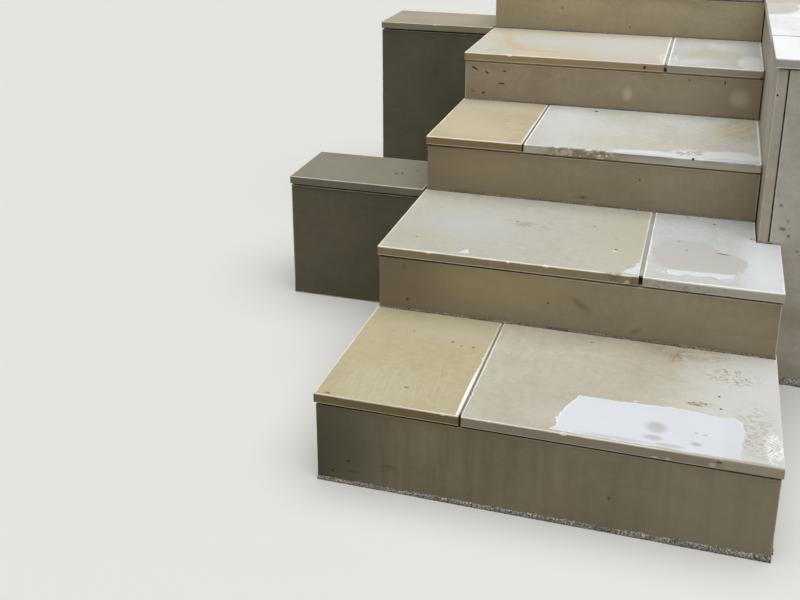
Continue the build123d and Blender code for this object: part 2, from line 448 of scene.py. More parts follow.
# %% [markdown]
# Now the whole stone. Object coordinates are used throughout, so a pattern runs on unbroken from a slab's
# face into its edge, as bedding does, and the seed gives each slab the pattern at a place of its own. A
# sawn face scatters light evenly, so its roughness is high and its gloss low, and grain and pits are only
# a bump: they are too shallow to need real shape.

# %% Sandstone
MOTTLE_MM = 18.0
GRAIN_MM = 3.0          # real grains are about 0.5 mm: drawn coarser so that they show at all
# The arris tone: partly fresh stone, partly a painted highlight of the sky on the eased edge.
ARRIS_TONE = "#FFFBF0"
# The edge tone darkens the sawn sides: partly the stone's own colour, partly painted shade.
EDGE_TONE = "#8C7A58"


def sandstone(node, tone, cloud, vein, cloud_share=0.6, vein_share=0.35, lie=(1, 0.12, 1), tilt=8.0,
              marks=(), seed=0, roughness=0.62, arris_share=0.5, edge=EDGE_TONE, edge_share=0.0, drips=0.0,
              dark_foot=False):
    """Sawn sandstone for one node: clouds, bedding streaks, mottle, grain and pits over one tone, then
    the slab's own marks. The attribute "arris" is 1 on an eased edge, 0 on the show face and -1 on the
    sawn sides."""
    material, tree = new_material("sawn_sandstone_" + node)
    coordinates = add(tree, "ShaderNodeTexCoord", out=3)
    place = add(tree, "ShaderNodeMapping", {
        "Vector": coordinates, "Location": (seed * 0.731, seed * 0.417, seed * 0.23),
    })
    colour, broad = clouded(tree, place, tone, cloud, cloud_share)
    colour = bedded(tree, place, colour, vein, vein_share, lie, tilt)
    if drips:
        colour = rained_on(tree, place, colour, drips)

    mottle = add(tree, "ShaderNodeTexNoise", {
        "Vector": place, "Scale": per(MOTTLE_MM), "Detail": 3.0, "Roughness": 0.65,
    })
    grain = add(tree, "ShaderNodeTexNoise", {
        "Vector": place, "Scale": per(GRAIN_MM), "Detail": 2.0, "Roughness": 0.7,
    })
    colour = shaded(tree, colour, broad, 0.32, 0.68, 1.06, 0.93)
    colour = shaded(tree, colour, mottle, 0.3, 0.7, 0.91, 1.06)
    colour = shaded(tree, colour, grain, 0.3, 0.7, 0.95, 1.04)
    if dark_foot:
        colour = darkened_foot(tree, coordinates, broad, colour, box_mm(node)[0][2])

    rough = add(tree, "ShaderNodeMapRange", {
        "Value": mottle, "From Min": 0.3, "From Max": 0.7,
        "To Min": roughness - 0.06, "To Max": roughness + 0.08,
    })
    arris_value = add(tree, "ShaderNodeAttribute", attribute_name="arris", out=2)
    # The sawn sides take the edge tone: partly the stone's own colour, partly painted shade.
    colour = stained(tree, colour, arris_value, 0.0, -0.5, edge_share, edge)
    # The eased arris and the pale rim beside it take the arris tone: partly wear, partly a painted highlight.
    colour = stained(tree, colour, arris_value, 0.0, 1.0, arris_share, ARRIS_TONE)
    colour, rough = marked(tree, coordinates, colour, rough, marks, front_and_top(node))
    colour, hole = pitted(tree, place, colour)

    raised = add(tree, "ShaderNodeMath", {0: mottle, 1: 0.5, 2: grain}, operation="MULTIPLY_ADD")
    sunk = add(tree, "ShaderNodeMath", {0: hole, 1: -1.5, 2: raised}, operation="MULTIPLY_ADD")
    normal = add(tree, "ShaderNodeBump", {"Height": sunk, "Strength": 0.22, "Distance": 0.0007})
    shader = add(tree, "ShaderNodeBsdfPrincipled", {
        "Base Color": colour, "Roughness": rough, "Normal": normal, "IOR": 1.5, "Specular IOR Level": 0.35,
    })
    add(tree, "ShaderNodeOutputMaterial", {"Surface": shader})
    return material


print("grain drawn at, mm:", GRAIN_MM)

# %% [markdown]
# ## Slabs as surfaces
#
# A sawn slab could be a box with a Bevel modifier, but a bevel is perfectly even and a real arris isn't:
# it is rubbed down by hand and knocked later. So the slab is drawn as rings. The outline is walked in
# even steps, and each ring is that outline moved inwards and down by an amount that may change at every
# step. A quarter circle of rings makes the eased arris, and where the amount grows for a few steps there
# is a chip.

# %% Walking round an outline
def walk_round(corners, radii, spacing):
    """Points about every spacing round a flat outline. Each corner is the curve (1-t)²A + 2t(1-t)C + t²B
    between points A and B a radius before and after it. Also returns the directions that point inwards,
    which are the walking directions turned a quarter to the left."""
    corners = np.asarray(corners, float)
    ahead = np.roll(corners, -1, axis=0) - corners
    run = np.linalg.norm(ahead, axis=1)
    ahead /= run[:, None]
    behind = np.roll(ahead, 1, axis=0)
    t = np.linspace(0, 1, 5)[:, None]
    stretches = []
    for i, corner in enumerate(corners):
        after = (i + 1) % len(corners)
        first = corner - behind[i] * radii[i]
        last = corner + ahead[i] * radii[i]
        stretches.append((1 - t) ** 2 * first + 2 * t * (1 - t) * corner + t ** 2 * last)
        end = corners[after] - ahead[i] * radii[after]
        count = max(int(run[i] / spacing), 2)
        stretches.append(np.linspace(last, end, count + 1)[1:-1])
    points = np.concatenate(stretches)
    forward = np.roll(points, -1, axis=0) - np.roll(points, 1, axis=0)
    inward = np.stack([-forward[:, 1], forward[:, 0]], axis=1)
    return points, inward / np.linalg.norm(inward, axis=1)[:, None]


square = [(0, 0), (100, 0), (100, 100), (0, 100)]
print("steps round a square of 100 mm:", len(walk_round(square, [2.0] * 4, 4.0)[0]))

# %% [markdown]
# Wear is chance, but chance with a size. A ripple changes slowly along the walk, as a hand with a rubbing
# stone does, and a knock is short and deep. Both start from seeded random numbers, so every slab differs
# from the next and yet comes out the same each time the script runs.

# %% Ripples, knocks and rings
def ripple(count, knots, random):
    """Smooth random heights from 0 to 1 round a closed walk: random knots, joined by straight ramps."""
    heights = random.random(knots)
    return np.interp(np.arange(count) / count * knots, np.arange(knots + 1), np.append(heights, heights[0]))


def knocks(count, perimeter, number, size, random):
    """How far chips break the arris back at each point of a walk: half ellipses, deepest in their middle."""
    if number == 0:
        return np.zeros(count)
    at = random.random(number)
    half = random.uniform(0.8, 2.6, number) * size / perimeter
    deep = random.uniform(0.35, 1.0, number) * size
    away = np.abs((np.arange(count)[:, None] / count - at + 0.5) % 1 - 0.5) / half
    return (deep * np.sqrt(np.clip(1 - away ** 2, 0, 1))).max(axis=1)


def stitched(rings, count):
    """Quads between neighbouring rings of count points each, and caps on the first and the last ring."""
    here = np.arange(rings - 1)[:, None] * count + np.arange(count)
    following = np.arange(rings - 1)[:, None] * count + np.roll(np.arange(count), -1)
    quads = np.stack([here, here + count, following + count, following], axis=2).reshape(-1, 4)
    return quads, [np.arange(count), np.arange(count)[::-1] + (rings - 1) * count]


print("deepest of three chips, mm:", round(knocks(90, 360.0, 3, 2.6, np.random.default_rng(1)).max(), 2))

# %% [markdown]
# A slab faces up, or to one side. Five facings cover them all: each gives the two directions in which its
# outline is drawn, and their cross product points out of the show face.

# %% The slab surface
X, Y, Z = np.eye(3)
FACINGS = {"up": (X, Y), "front": (X, Z), "back": (-X, Z), "left": (-Y, Z), "right": (Y, Z)}
LAND = 2.2              # flat strip beside an arris, so that the shading turns there and nowhere else
CLEAR = 9.0             # chips stay this far from a corner
ARRIS_WAVE = 18.0       # how far apart the random knots of an arris are
RIM_WAVE = 25.0         # and those of the pale rim, which is partly wear and partly a painted highlight
SQUARE_ON = 0.7         # a side looks along an axis when its inward direction has more of it than this
UPPER_TURN = np.radians([0, 30, 60, 90])[:, None]
LOWER_TURN = np.radians([0, 45, 90])[:, None]


def slab_surface(box, facing, seed, outline=None, radii=2.2, arris=1.5, lower=0.4, lower_at=(), chips=3,
                 chip_size=2.6, spacing=4.0, pale_rim=0.5):
    """A slab as rings: a flat rim on the show face, which is only painted pale like the arris, partly as
    wear and partly as a painted highlight, then a quarter circle of radius a, the sides, a lower arris of
    radius b and in under the back. At turn t the upper arris lies a(1 - sin t) in and a(1 - cos t) down.
    Returns points, quads, caps and the "arris" value of each point."""
    random = np.random.default_rng(seed)
    across, upward = FACINGS[facing]
    outward = np.cross(across, upward)
    u, v, n = (box @ direction for direction in (across, upward, outward))
    if outline is None:
        outline = [(u.min(), v.min()), (u.max(), v.min()), (u.max(), v.max()), (u.min(), v.max())]
    radii = np.broadcast_to(radii, len(outline))
    edge, inward = walk_round(outline, radii, spacing)
    count = len(edge)
    perimeter = np.linalg.norm(np.roll(edge, -1, axis=0) - edge, axis=1).sum()
    thick = n.max() - n.min()

    corner_gap = np.linalg.norm(edge[:, None] - np.asarray(outline, float), axis=2).min(axis=1)
    sound = np.clip((corner_gap - CLEAR) / CLEAR, 0, 1)
    a = arris * (0.75 + 0.5 * ripple(count, max(int(perimeter / ARRIS_WAVE), 4), random))
    a = np.minimum(a + sound * knocks(count, perimeter, chips, chip_size, random), 0.4 * thick)
    b = np.full(count, lower)
    for direction, size in lower_at:
        b = np.where(inward @ np.array(direction, float) > SQUARE_ON, size, b)
    b = b + 0.5 * sound * knocks(count, perimeter, chips, chip_size, random)
    b = np.minimum(b, thick - a - 2.1 * LAND)
    rim_ends, rim_sides = np.broadcast_to(pale_rim, 2)
    rim = np.where(np.abs(inward[:, 0]) > SQUARE_ON, rim_sides, rim_ends)
    rim = rim * (0.4 + 1.2 * ripple(count, max(int(perimeter / RIM_WAVE), 4), random))
    rim = np.minimum(rim, 0.55 * np.clip(corner_gap - a - 0.5, 0, None))

    inset = np.vstack([a + 1.6 * rim + 0.05, a + rim + 0.02, a * (1 - np.sin(UPPER_TURN)), 0 * a, 0 * a,
                       b * (1 - np.cos(LOWER_TURN))])
    depth = np.vstack([0 * a, 0 * a, a * (1 - np.cos(UPPER_TURN)), a + LAND, thick - b - LAND,
                       thick - b * (1 - np.sin(LOWER_TURN))])
    under = np.where(b > 1, 0.5, -1.0)
    arris_value = np.vstack([0 * a, 0.8 + 0 * a, np.ones((4, count)), -np.ones((2, count)), np.tile(under, (3, 1))])
    flat = edge[None] + inward[None] * inset[:, :, None]
    points = flat[:, :, :1] * across + flat[:, :, 1:] * upward + (n.max() - depth)[:, :, None] * outward
    return points.reshape(-1, 3), *stitched(len(inset), count), arris_value.ravel()


print("points of the lowest riser:", len(slab_surface(box_mm("riser_1"), "front", 0)[0]))

# %% [markdown]
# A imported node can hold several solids, such as the slabs of one flank. The frame gives their triangles,
# so their boxes are found by letting each triangle pass the lowest label among its corners to all three.

# %% Solids in a node
def solids_of(node):
    """The boxes of a node's separate solids, in order up the flight."""
    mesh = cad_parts[node].data
    places = np.empty(3 * len(mesh.vertices))
    mesh.vertices.foreach_get("co", places)
    corners, which = np.unique((places.reshape(-1, 3) / MM).round(3), axis=0, return_inverse=True)
    loops = np.empty(len(mesh.loops), np.int32)
    mesh.loops.foreach_get("vertex_index", loops)
    triangles = which.ravel()[loops].reshape(-1, 3)
    label = np.arange(len(corners))
    settled = False
    while not settled:
        passed = label.copy()
        np.minimum.at(passed, triangles.ravel(), np.repeat(label[triangles].min(axis=1), 3))
        settled = (passed == label).all()
        label = passed
    groups = [corners[label == one] for one in np.unique(label)]
    boxes = [np.array([group.min(axis=0), group.max(axis=0)]) for group in groups]
    return sorted(boxes, key=lambda box: (box[0][1], box[0][2]))


print("slabs in the lowest left flank:", len(solids_of("flank_left_1")))

# %% [markdown]
# Surfaces become a Blender object in one place. All their points and faces go into one mesh as whole
# arrays, which is far quicker than building faces one by one, and the arris value is stored at each face
# corner, so that the flat caps can have another value than the quads they touch. Every piece then rides
# on the steps, which are one rigid body.


def piece(name, surfaces, material, stands_for=()):
    """Joins surfaces into one mesh that rides on the steps and hides the parts that it stands for."""
    points, loops, starts, arris_value, smooth = [], [], [], [], []
    first, loop_count = 0, 0
    for surface_points, quads, caps, surface_arris_value in surfaces:
        corner_lists = [quads.ravel()] + [np.asarray(cap) for cap in caps]
        arris_value += [surface_arris_value[quads.ravel()], np.zeros(sum(len(cap) for cap in caps))]
        sizes = np.concatenate([np.full(len(quads), quads.shape[1])] + [[len(cap)] for cap in caps])
        loops.append(np.concatenate(corner_lists) + first)
        starts.append(np.concatenate([[0], np.cumsum(sizes)[:-1]]) + loop_count)
        points.append(surface_points)
        smooth.append(np.concatenate([np.ones(len(quads), bool), np.zeros(len(caps), bool)]))
        first += len(surface_points)
        loop_count += int(sizes.sum())
    points, loops, starts = np.concatenate(points), np.concatenate(loops), np.concatenate(starts)
    mesh = bpy.data.meshes.new(name)
    mesh.vertices.add(len(points))
    mesh.vertices.foreach_set("co", (points * MM).astype(np.float32).ravel())
    mesh.loops.add(len(loops))
    mesh.loops.foreach_set("vertex_index", loops.astype(np.int32))
    mesh.polygons.add(len(starts))
    mesh.polygons.foreach_set("loop_start", starts.astype(np.int32))
    mesh.update(calc_edges=True)
    arris = mesh.attributes.new("arris", "FLOAT", "CORNER")
    arris.data.foreach_set("value", np.concatenate(arris_value).astype(np.float32))
    mesh.polygons.foreach_set("use_smooth", np.concatenate(smooth))
    mesh.materials.append(material)
    made = bpy.data.objects.new(name, mesh)
    bpy.context.scene.collection.objects.link(made)
    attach(made, "root")
    if stands_for:
        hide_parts(*stands_for)
    return made


# %% [markdown]
# ## Treads
#
# Ten tiles. No two are alike: ochre ones, cream ones and cold grey ones are mixed over the flight, so
# each gets its own tone, and the marks that the eye remembers it by. The tile beside the wall's corner is
# notched round it, and one tile has lost its lower corner.
#
# First comes the table of their looks, with the marks that were measured on each.

# %% Tread finishes
TREAD_FINISH = {
    "tread_1_left": dict(tone="#BCB290", cloud="#C4B890", vein="#B4A67E", edge="#6E5A2E", seed=1, marks=[
        on_top(114, 60, 70, 90, "#C4BDA0", soft=0.7, share=0.4),
        on_top(220, 360, 110, 80, "#BFB8A0", soft=0.8, share=0.65),
        on_top(110, 70, 90, 80, "#D2CCB6", strokes=(9, 6, 92, 0.45), soft=0.6, share=0.22),
        on_top(225, 90, 50, 70, "#CFC8B0", strokes=(7, 8, 96, 0.4), soft=0.6, share=0.22),
        on_top(214, 291, 3, 2.6, "#3E3226", soft=0.2), on_top(237, 278, 2.6, 2, "#5E5038", soft=0.2),
        on_top(264, 279, 2.8, 2.4, "#4A3E2C", soft=0.2), on_top(117, 318, 2, 4, "#8A7C58"),
        on_top(172, 71, 6, 3, "#8E7E56"),
        on_top(25, 3, 6, 3.6, "#6A5A38", strokes=(4, 1.5, 0, 0.6)),
        # The first mark here, a white line along the right side by the joint, is a painted highlight.
        on_top(296, 92, 3.4, 98, "#FFFFFC", soft=0.2, ragged=0.3), spot(275, 184, 6, 3, "#C9BC92"),
    ]),
    "tread_1_right": dict(tone="#C3BEAC", cloud="#BDB7A5", vein="#B2A98F", edge="#958A75", seed=2, marks=[
        # This patch is wet, and its pale colour is a painted reflection of the sky.
        on_top(892, 197, 150, 250, "#DADBD9", soft=0.7, share=0.9, wet=True),
        on_top(560, 60, 110, 46, "#D2CDBD", soft=0.7, share=0.6),
        on_top(702, 393, 90, 34, "#A59878", strokes=(14, 2, 0, 0.6), soft=0.6, share=0.6),
        on_top(640, 300, 90, 70, "#B5AB92", strokes=(16, 3, -8, 0.5), soft=0.8, share=0.5),
        on_top(694, 364, 14, 24, "#96875F", strokes=(6, 1.5, 40, 0.5), ragged=0.8, share=0.7),
        on_top(812, 310, 52, 36, "#857858", strokes=(5.5, 2.2, 0, 0.27), soft=0.4, share=0.75),
        on_top(748, 180, 26, 9, "#8A744C", strokes=(6, 3, 0, 0.5), ragged=0.8, share=0.9),
        on_top(851, 124, 36, 70, "#B2A88E", strokes=(7, 1.5, 0, 0.5), soft=0.6, share=0.5),
        on_top(862, 60, 34, 40, "#ACA082", strokes=(6, 2, 30, 0.4), soft=0.4, share=0.5),
        on_top(886, 58, 17, 48, "#FFFFFC", strokes=(3.2, 9, 66, 0.36), share=0.9),
        on_top(886, 58, 17, 48, "#FFFFFC", strokes=(3.2, 9, -30, 0.34), share=0.9),
        on_top(512, 380, 4, 3, "#8C8068"), on_top(786, 221, 2.6, 2.6, "#3E362A", soft=0.2),
        on_top(790, 173, 3, 2.4, "#4A4234", soft=0.2),
        # This greyer line along the front arris tones down the painted highlight there.
        on_top(800, -4, 110, 3.4, "#B9B6AD", soft=0.4, ragged=0.4, share=0.75),
        on_edge(850, 194, 58, "#B2A994", ragged=0.9, share=0.85),
        spot(676, 185, 7, 3, "#D8CDB2"), spot(699, 187, 4, 3, "#D0C4A6"), spot(778, 190, 6, 4, "#C9BEA2"),
        spot(790, 197, 5, 3, "#6E6248"),
    ]),
    "tread_2_left": dict(tone="#C0BDAE", cloud="#C6C5BC", vein="#BAB49A", edge="#8B7956", seed=3, marks=[
        on_top(187, 623, 120, 100, "#C6C6C2", soft=0.8, share=0.7),
        on_top(541, 636, 80, 150, "#BEBCA6", soft=0.8, share=0.7),
        on_top(309, 653, 50, 20, "#A49C82", strokes=(12, 3, -20, 0.5), soft=0.6, share=0.6, turn=-20),
        on_top(60, 500, 70, 60, "#B9B29C", soft=0.8, share=0.45),
        on_top(536, 556, 4, 3, "#2E261C", soft=0.25), on_top(534, 547, 6, 2.5, "#F4F4F2"),
        on_top(471, 692, 3, 2.6, "#7E7252"), on_top(529, 624, 3.5, 2.6, "#958B68"),
        on_top(281, 668, 4, 3, "#7E745A"), on_top(69, 498, 3, 2.4, "#7A6E52"),
        on_edge(560, 350, 36, "#6A5636", strokes=(9, 2, 0, 0.45), soft=0.5, ragged=0.8, share=0.6),
        spot(575, 344, 6, 5, "#C9BE98"),
    ]),
    "tread_2_right": dict(tone="#CACCC8", cloud="#D2D6D7", vein="#C0C1BA", edge="#B7B2A0", seed=4, marks=[
        # This pale bluish patch at the right end is a painted reflection of the sky.
        on_top(868, 560, 50, 170, "#E4E8EA", soft=0.7, share=0.8),
        on_top(695, 572, 76, 92, "#C1C1BA", soft=0.05, ragged=0.8, share=0.85),
        on_top(768, 545, 66, 60, "#C1C1BA", turn=-12, soft=0.05, ragged=0.9, share=0.85),
        on_top(712, 512, 92, 36, "#C1C1BA", soft=0.05, ragged=0.6, share=0.85),
        on_top(676, 545, 45, 40, "#C4B8AC", soft=0.7, share=0.2),
        on_top(850, 716, 14, 10, "#8E8676", strokes=(6, 1.5, 0, 0.45), soft=0.4, share=0.7),
        on_top(688, 820, 3.5, 2.6, "#4E463A", soft=0.25), on_top(752, 791, 4, 3, "#26201A", soft=0.2),
        on_top(673, 653, 4, 2.6, "#7A7264"), on_top(693, 601, 3, 2.6, "#5E564A"),
        on_top(838, 718, 3, 3, "#5E5648"), on_top(774, 601, 16, 3, "#7A7466", turn=-12, soft=0.4),
        on_edge(735, 348, 60, "#968C72", strokes=(7, 2, 0, 0.35), soft=0.5, share=0.7),
        on_edge(640, 350, 30, "#968A6E", strokes=(7, 2, 0, 0.35), soft=0.5, share=0.6),
        # The white line along the front arris is a painted highlight.
        on_top(760, 416, 150, 3.4, "#FFFFFF", soft=0.4, ragged=0.4, share=0.8),
    ]),
    "tread_3_left": dict(tone="#C5B799", cloud="#BFB08E", vein="#B7A67F", edge="#826A3C", seed=5, marks=[
        on_top(67, 975, 50, 120, "#C6BD9E", soft=0.8, share=0.6),
        on_top(120, 1200, 150, 60, "#C3BDAA", soft=0.8, share=0.65),
        on_top(120, 930, 90, 60, "#D2C8A8", strokes=(9, 6, 10, 0.4), soft=0.7, share=0.4),
        on_top(188, 976, 3, 2.6, "#7E6C46"),
    ]),
    "tread_3_right": dict(tone="#CBCBC5", cloud="#C8C5B8", vein="#BDB69E", edge="#C5BEAF", seed=6,
                          tilt=-24.0, marks=[
        on_top(792, 1135, 90, 62, "#BFB58E", turn=58, soft=0.7, share=0.6),
        on_top(800, 1130, 64, 112, "#9C9268", strokes=(5, 10, 58, 0.45), soft=0.5, share=0.4),
        on_top(501, 940, 160, 40, "#C8C2AC", soft=0.9, share=0.4),
        on_top(330, 1060, 70, 200, "#DADAD6", soft=0.8, share=0.6),
        # These two patches are wet, and their pale colour is a painted reflection of the sky.
        on_top(600, 848, 112, 26, "#EDEFEE", soft=0.2, ragged=1.0, share=0.75, wet=True),
        on_top(775, 876, 80, 46, "#ECEEED", turn=8, soft=0.2, ragged=1.0, share=0.75, wet=True),
        on_top(664, 884, 40, 26, "#6A604A", strokes=(3, 9, 48, 0.4), share=0.9),
        on_top(672, 886, 44, 28, "#FFFFFF", strokes=(3, 9, -36, 0.4), share=0.9),
        on_top(845, 1060, 2.6, 220, "#F4F5F4", share=0.8),
        on_top(262, 1063, 2.2, 225, "#FFFFFF", ragged=0.3, share=0.9),
        # The white line along the front arris is a painted highlight.
        on_top(770, 836, 90, 3.4, "#FFFFFF", soft=0.4, ragged=0.4, share=0.8),
        on_edge(410, 501, 90, "#8E7A58", strokes=(10, 2, 0, 0.6), soft=0.5, share=0.8),
        spot(456, 499, 4, 3, "#EDE6D2"), spot(474, 500, 3, 3, "#EDE6D2"),
        dict(at=(686, 838, 511), half=(3.5, 6, 5), colour="#14100C", soft=0.2),
        on_top(401, 1222, 5, 7, "#2E2A24"),
    ]),
    "tread_4_left": dict(tone="#CDC6B0", cloud="#CBC7B8", vein="#C8BC96", edge="#A28758", seed=7, marks=[
        on_top(84, 1505, 13, 95, "#CBB47E", turn=16, soft=0.7, share=0.75),
        on_top(130, 1388, 50, 16, "#CBB47E", turn=-60, soft=0.7, share=0.75),
        on_top(205, 1342, 75, 13, "#CBB584", turn=-3, soft=0.8, share=0.65),
        on_top(52, 1480, 6, 90, "#D0BD90", turn=16, soft=0.7, share=0.5),
        on_top(32, 1380, 34, 80, "#D0D0CC", soft=0.7, share=0.5),
        on_top(300, 1500, 190, 90, "#D1D1CC", soft=0.9, share=0.65),
        on_top(401, 1290, 170, 30, "#CDBB94", soft=0.9, share=0.6),
        on_top(480, 1460, 120, 180, "#D0CEC8", soft=0.8, share=0.8),
        on_top(576.5, 1480, 2.4, 230, "#FFFFFF", ragged=0.3, share=0.9),
        on_top(572, 1340, 12, 70, "#F6F6F4", strokes=(8, 3, 80, 0.4), soft=0.4, share=0.8),
        spot(525, 643, 4, 4.5, "#0E0A08", soft=0.2),
    ]),
    "tread_4_right": dict(tone="#C5C5C0", cloud="#BFBEB5", vein="#B7B4A6", edge="#A49A8B", seed=8, marks=[
        # This patch is wet, and its pale colour is a painted reflection of the sky.
        on_top(815, 1343, 34, 100, "#E8EAEB", ragged=0.9, share=0.9, wet=True),
        on_top(643, 1312, 30, 60, "#D4D3CC", turn=-40, soft=0.6, share=0.7),
        on_top(705, 1431, 90, 60, "#B7B29C", soft=0.8, share=0.6),
        on_top(589.5, 1480, 2.4, 230, "#FFFFFF", ragged=0.3, share=0.9),
        on_top(598, 1330, 14, 60, "#F2F2F0", strokes=(8, 3, 70, 0.4), soft=0.4, share=0.8),
        # The white line along the front arris is a painted highlight.
        on_top(800, 1256, 60, 3.4, "#FFFFFF", soft=0.4, ragged=0.4, share=0.8),
    ]),
    "tread_5_left": dict(tone="#CBC5B2", cloud="#C5BC9C", vein="#B9AE8C", seed=9),
    "tread_5_right": dict(tone="#CCCCC4", cloud="#C4C2B4", vein="#B9B5A2", seed=10),
}
print("marks on the treads:", sum(len(finish.get("marks", ())) for finish in TREAD_FINISH.values()))

# %% [markdown]
# Then the tiles themselves. The notch is only another outline for the same rings. The lost corner is made
# afterwards, by drawing a few points back to a circle, which keeps the quads as they are, where a Boolean
# would cut them up. The lower treads are wetter and more trodden. The arris and the pale rim of each tread
# are painted by other amounts, partly as wear and partly as a painted highlight, so the lower ones shine
# less than those higher up.

# %% Treads
UPRIGHT_JOINT = 4.0
NOTCH = (box_mm("riser_3")[1][0], box_mm("wall_cheek_slab_1")[0][1] - UPRIGHT_JOINT)
LOWER_ARRIS = 1.5
KNOCKED_CORNER = 9.0
# Each tread's pale rim widths and arris share: the pale colour is partly wear, partly a painted highlight.
PALE_RIMS = ((0.3, 1.6), (1.3, 1.6), (1.8, 1.8), (2.0, 2.0), (1.2, 1.2))     # front and back, then the two sides
ARRIS_SHARES = (0.66, 0.85, 0.92, 0.92, 0.85)
# The treads' sawn front edges take their edge tones at this share: partly the stone's own colour, partly
# painted shade.
TREAD_EDGE_SHARE = 0.85


def notched(box, corner):
    """An L-shaped outline: a rectangle with its far right corner cut away from a corner point."""
    (x0, y0, _), (x1, y1, _) = box
    return [(x0, y0), (x1, y0), (x1, corner[1]), corner, (corner[0], y1), (x0, y1)]


def knocked_off(points, box, radius):
    """Rounds the lower right edge: a point in the corner square that is further than the radius from the
    square's inner corner is drawn back to it."""
    centre = np.array([box[1][0] - radius, box[0][2] + radius])
    away = points[:, [0, 2]] - centre
    reach = np.linalg.norm(away, axis=1)
    outside = (away[:, 0] > 0) & (away[:, 1] < 0) & (reach > radius)
    drawn_back = centre + away[outside] * (radius / reach[outside])[:, None]
    points[outside[:, None] & [True, False, True]] = drawn_back.ravel()
    return points


for number, (node, finish) in enumerate(TREAD_FINISH.items()):
    box = box_mm(node)
    outline = notched(box, NOTCH) if node == "tread_2_right" else None
    surface = slab_surface(box, "up", 100 + number, outline, lower_at=[((0, 1), LOWER_ARRIS)], chips=9,
                           chip_size=3.0, spacing=3.5, pale_rim=PALE_RIMS[number // 2])
    if node == "tread_4_right":
        knocked_off(surface[0], box, KNOCKED_CORNER)
    stone = sandstone(node, arris_share=ARRIS_SHARES[number // 2], edge_share=TREAD_EDGE_SHARE, **finish)
    made = piece(node + "_tile", [surface], stone, stands_for=[node])
print("last tile, faces:", len(made.data.polygons))

# %% [markdown]
# ## Standing slabs
#
# The risers are the same stone on edge. They get less sky, and their tones are set darker than the
# treads', so part of that shade is painted into their colour and they read as warm brown. Rain leaves
# faint upright runs on them, and they are darker towards the foot. The flanks and the planter faces are
# made the same way, from whatever boxes the frame holds for them.

# %% Risers
RISER_FINISH = {
    "riser_1": dict(tone="#938A70", cloud="#877F66", vein="#7A7058", seed=11, drips=0.5, marks=[
        # This dark grey-green patch at the left end is partly damp and partly painted shade.
        on_face(-20, 89, 145, 160, "#545240", soft=0.7, ragged=0.4, share=0.9),
        on_face(69, 54, 3, 2.4, "#1E1A14", soft=0.2), on_face(34, 26, 3.5, 2.6, "#2A241C", soft=0.2),
        on_face(146, 57, 22, 9, "#5E523E", strokes=(9, 2, 20, 0.5), soft=0.7, share=0.5),
        on_face(79, 31, 14, 4, "#4A4030", strokes=(6, 2, 28, 0.5), soft=0.5, share=0.5),
        # So is this darker patch at the left end.
        on_face(0, 45, 24, 70, "#44463A", soft=0.9, share=0.5),
        on_face(598, 76, 3, 4, "#5A503E", soft=0.5),
        on_face(294, 176, 120, 14, "#857A5A", soft=0.8, share=0.5),
        # This paler patch at the right end is painted light.
        on_face(820, 80, 160, 140, "#A29A84", soft=0.9, share=0.5),
    ]),
    "riser_2": dict(tone="#A3987F", cloud="#998C6E", vein="#8C7E60", seed=12, marks=[
        # This darker patch at the left end is partly damp and partly painted shade.
        on_face(0, 268, 160, 130, "#7E7058", soft=0.8, share=0.85),
        on_face(403, 268, 3, 3, "#4A3E2C"),
        on_face(477, 273, 22, 8, "#6E5E44", turn=-35, soft=0.9, ragged=0.8, share=0.6),
        on_face(601, 226, 14, 6, "#6E634E", turn=30, soft=0.8, share=0.5),
        on_face(62, 314, 5, 10, "#7A6A4C", soft=0.5), on_face(70, 231, 5, 4, "#5A4C36", soft=0.4),
        on_face(296, 300, 130, 40, "#B09B6E", soft=0.9, share=0.5),
    ]),
    "riser_3": dict(tone="#A3987F", cloud="#998D70", vein="#8E8062", seed=13, marks=[
        # This darker patch at the left end is partly damp and partly painted shade.
        on_face(0, 440, 200, 120, "#86785E", soft=0.8, share=0.85),
        on_face(421, 380, 20, 4, "#6A5C42", strokes=(6, 2, 0, 0.5)), on_face(560, 443, 3, 2.4, "#4A3E2C"),
        on_face(146, 440, 120, 40, "#B39E74", soft=0.9, share=0.4),
        on_face(822, 366, 26, 9, "#9A958C", strokes=(8, 2, 10, 0.6), ragged=0.9),
    ]),
    "riser_4": dict(tone="#AFA18A", cloud="#A5967C", vein="#998B6E", seed=14, marks=[
        on_face(840, 575, 150, 90, "#9A8D76", soft=0.9, share=0.6),
        on_face(29, 608, 10, 2.6, "#2E261C", turn=-28),
        on_face(66, 597, 6, 2.6, "#3E3428", turn=-30),
        on_face(120, 604, 5, 2.4, "#4A3E2C"), on_face(111, 566, 11, 2.6, "#443A2A"),
        on_face(23, 539, 8, 6, "#4E4232", strokes=(5, 2, 0, 0.5)),
        on_face(57, 534, 6, 4, "#5E503C", soft=0.4),
        on_face(482, 562, 13, 18, "#CBBFA8", soft=0.6, share=0.75),
        on_face(788, 570, 20, 22, "#C6B89E", soft=0.6, share=0.75),
        on_face(806, 562, 16, 20, "#BFB098", soft=0.6, share=0.5),
        on_face(652, 614, 3, 2.4, "#5A4C38"), on_face(749, 612, 2.2, 6, "#4E3E2E"),
    ]),
    "riser_5": dict(tone="#BEB191", cloud="#B4A684", vein="#A89775", seed=15, marks=[
        on_face(443, 680, 3, 2.4, "#5A4C38"), on_face(223, 731, 4, 2.4, "#6A5C44"),
    ]),
}
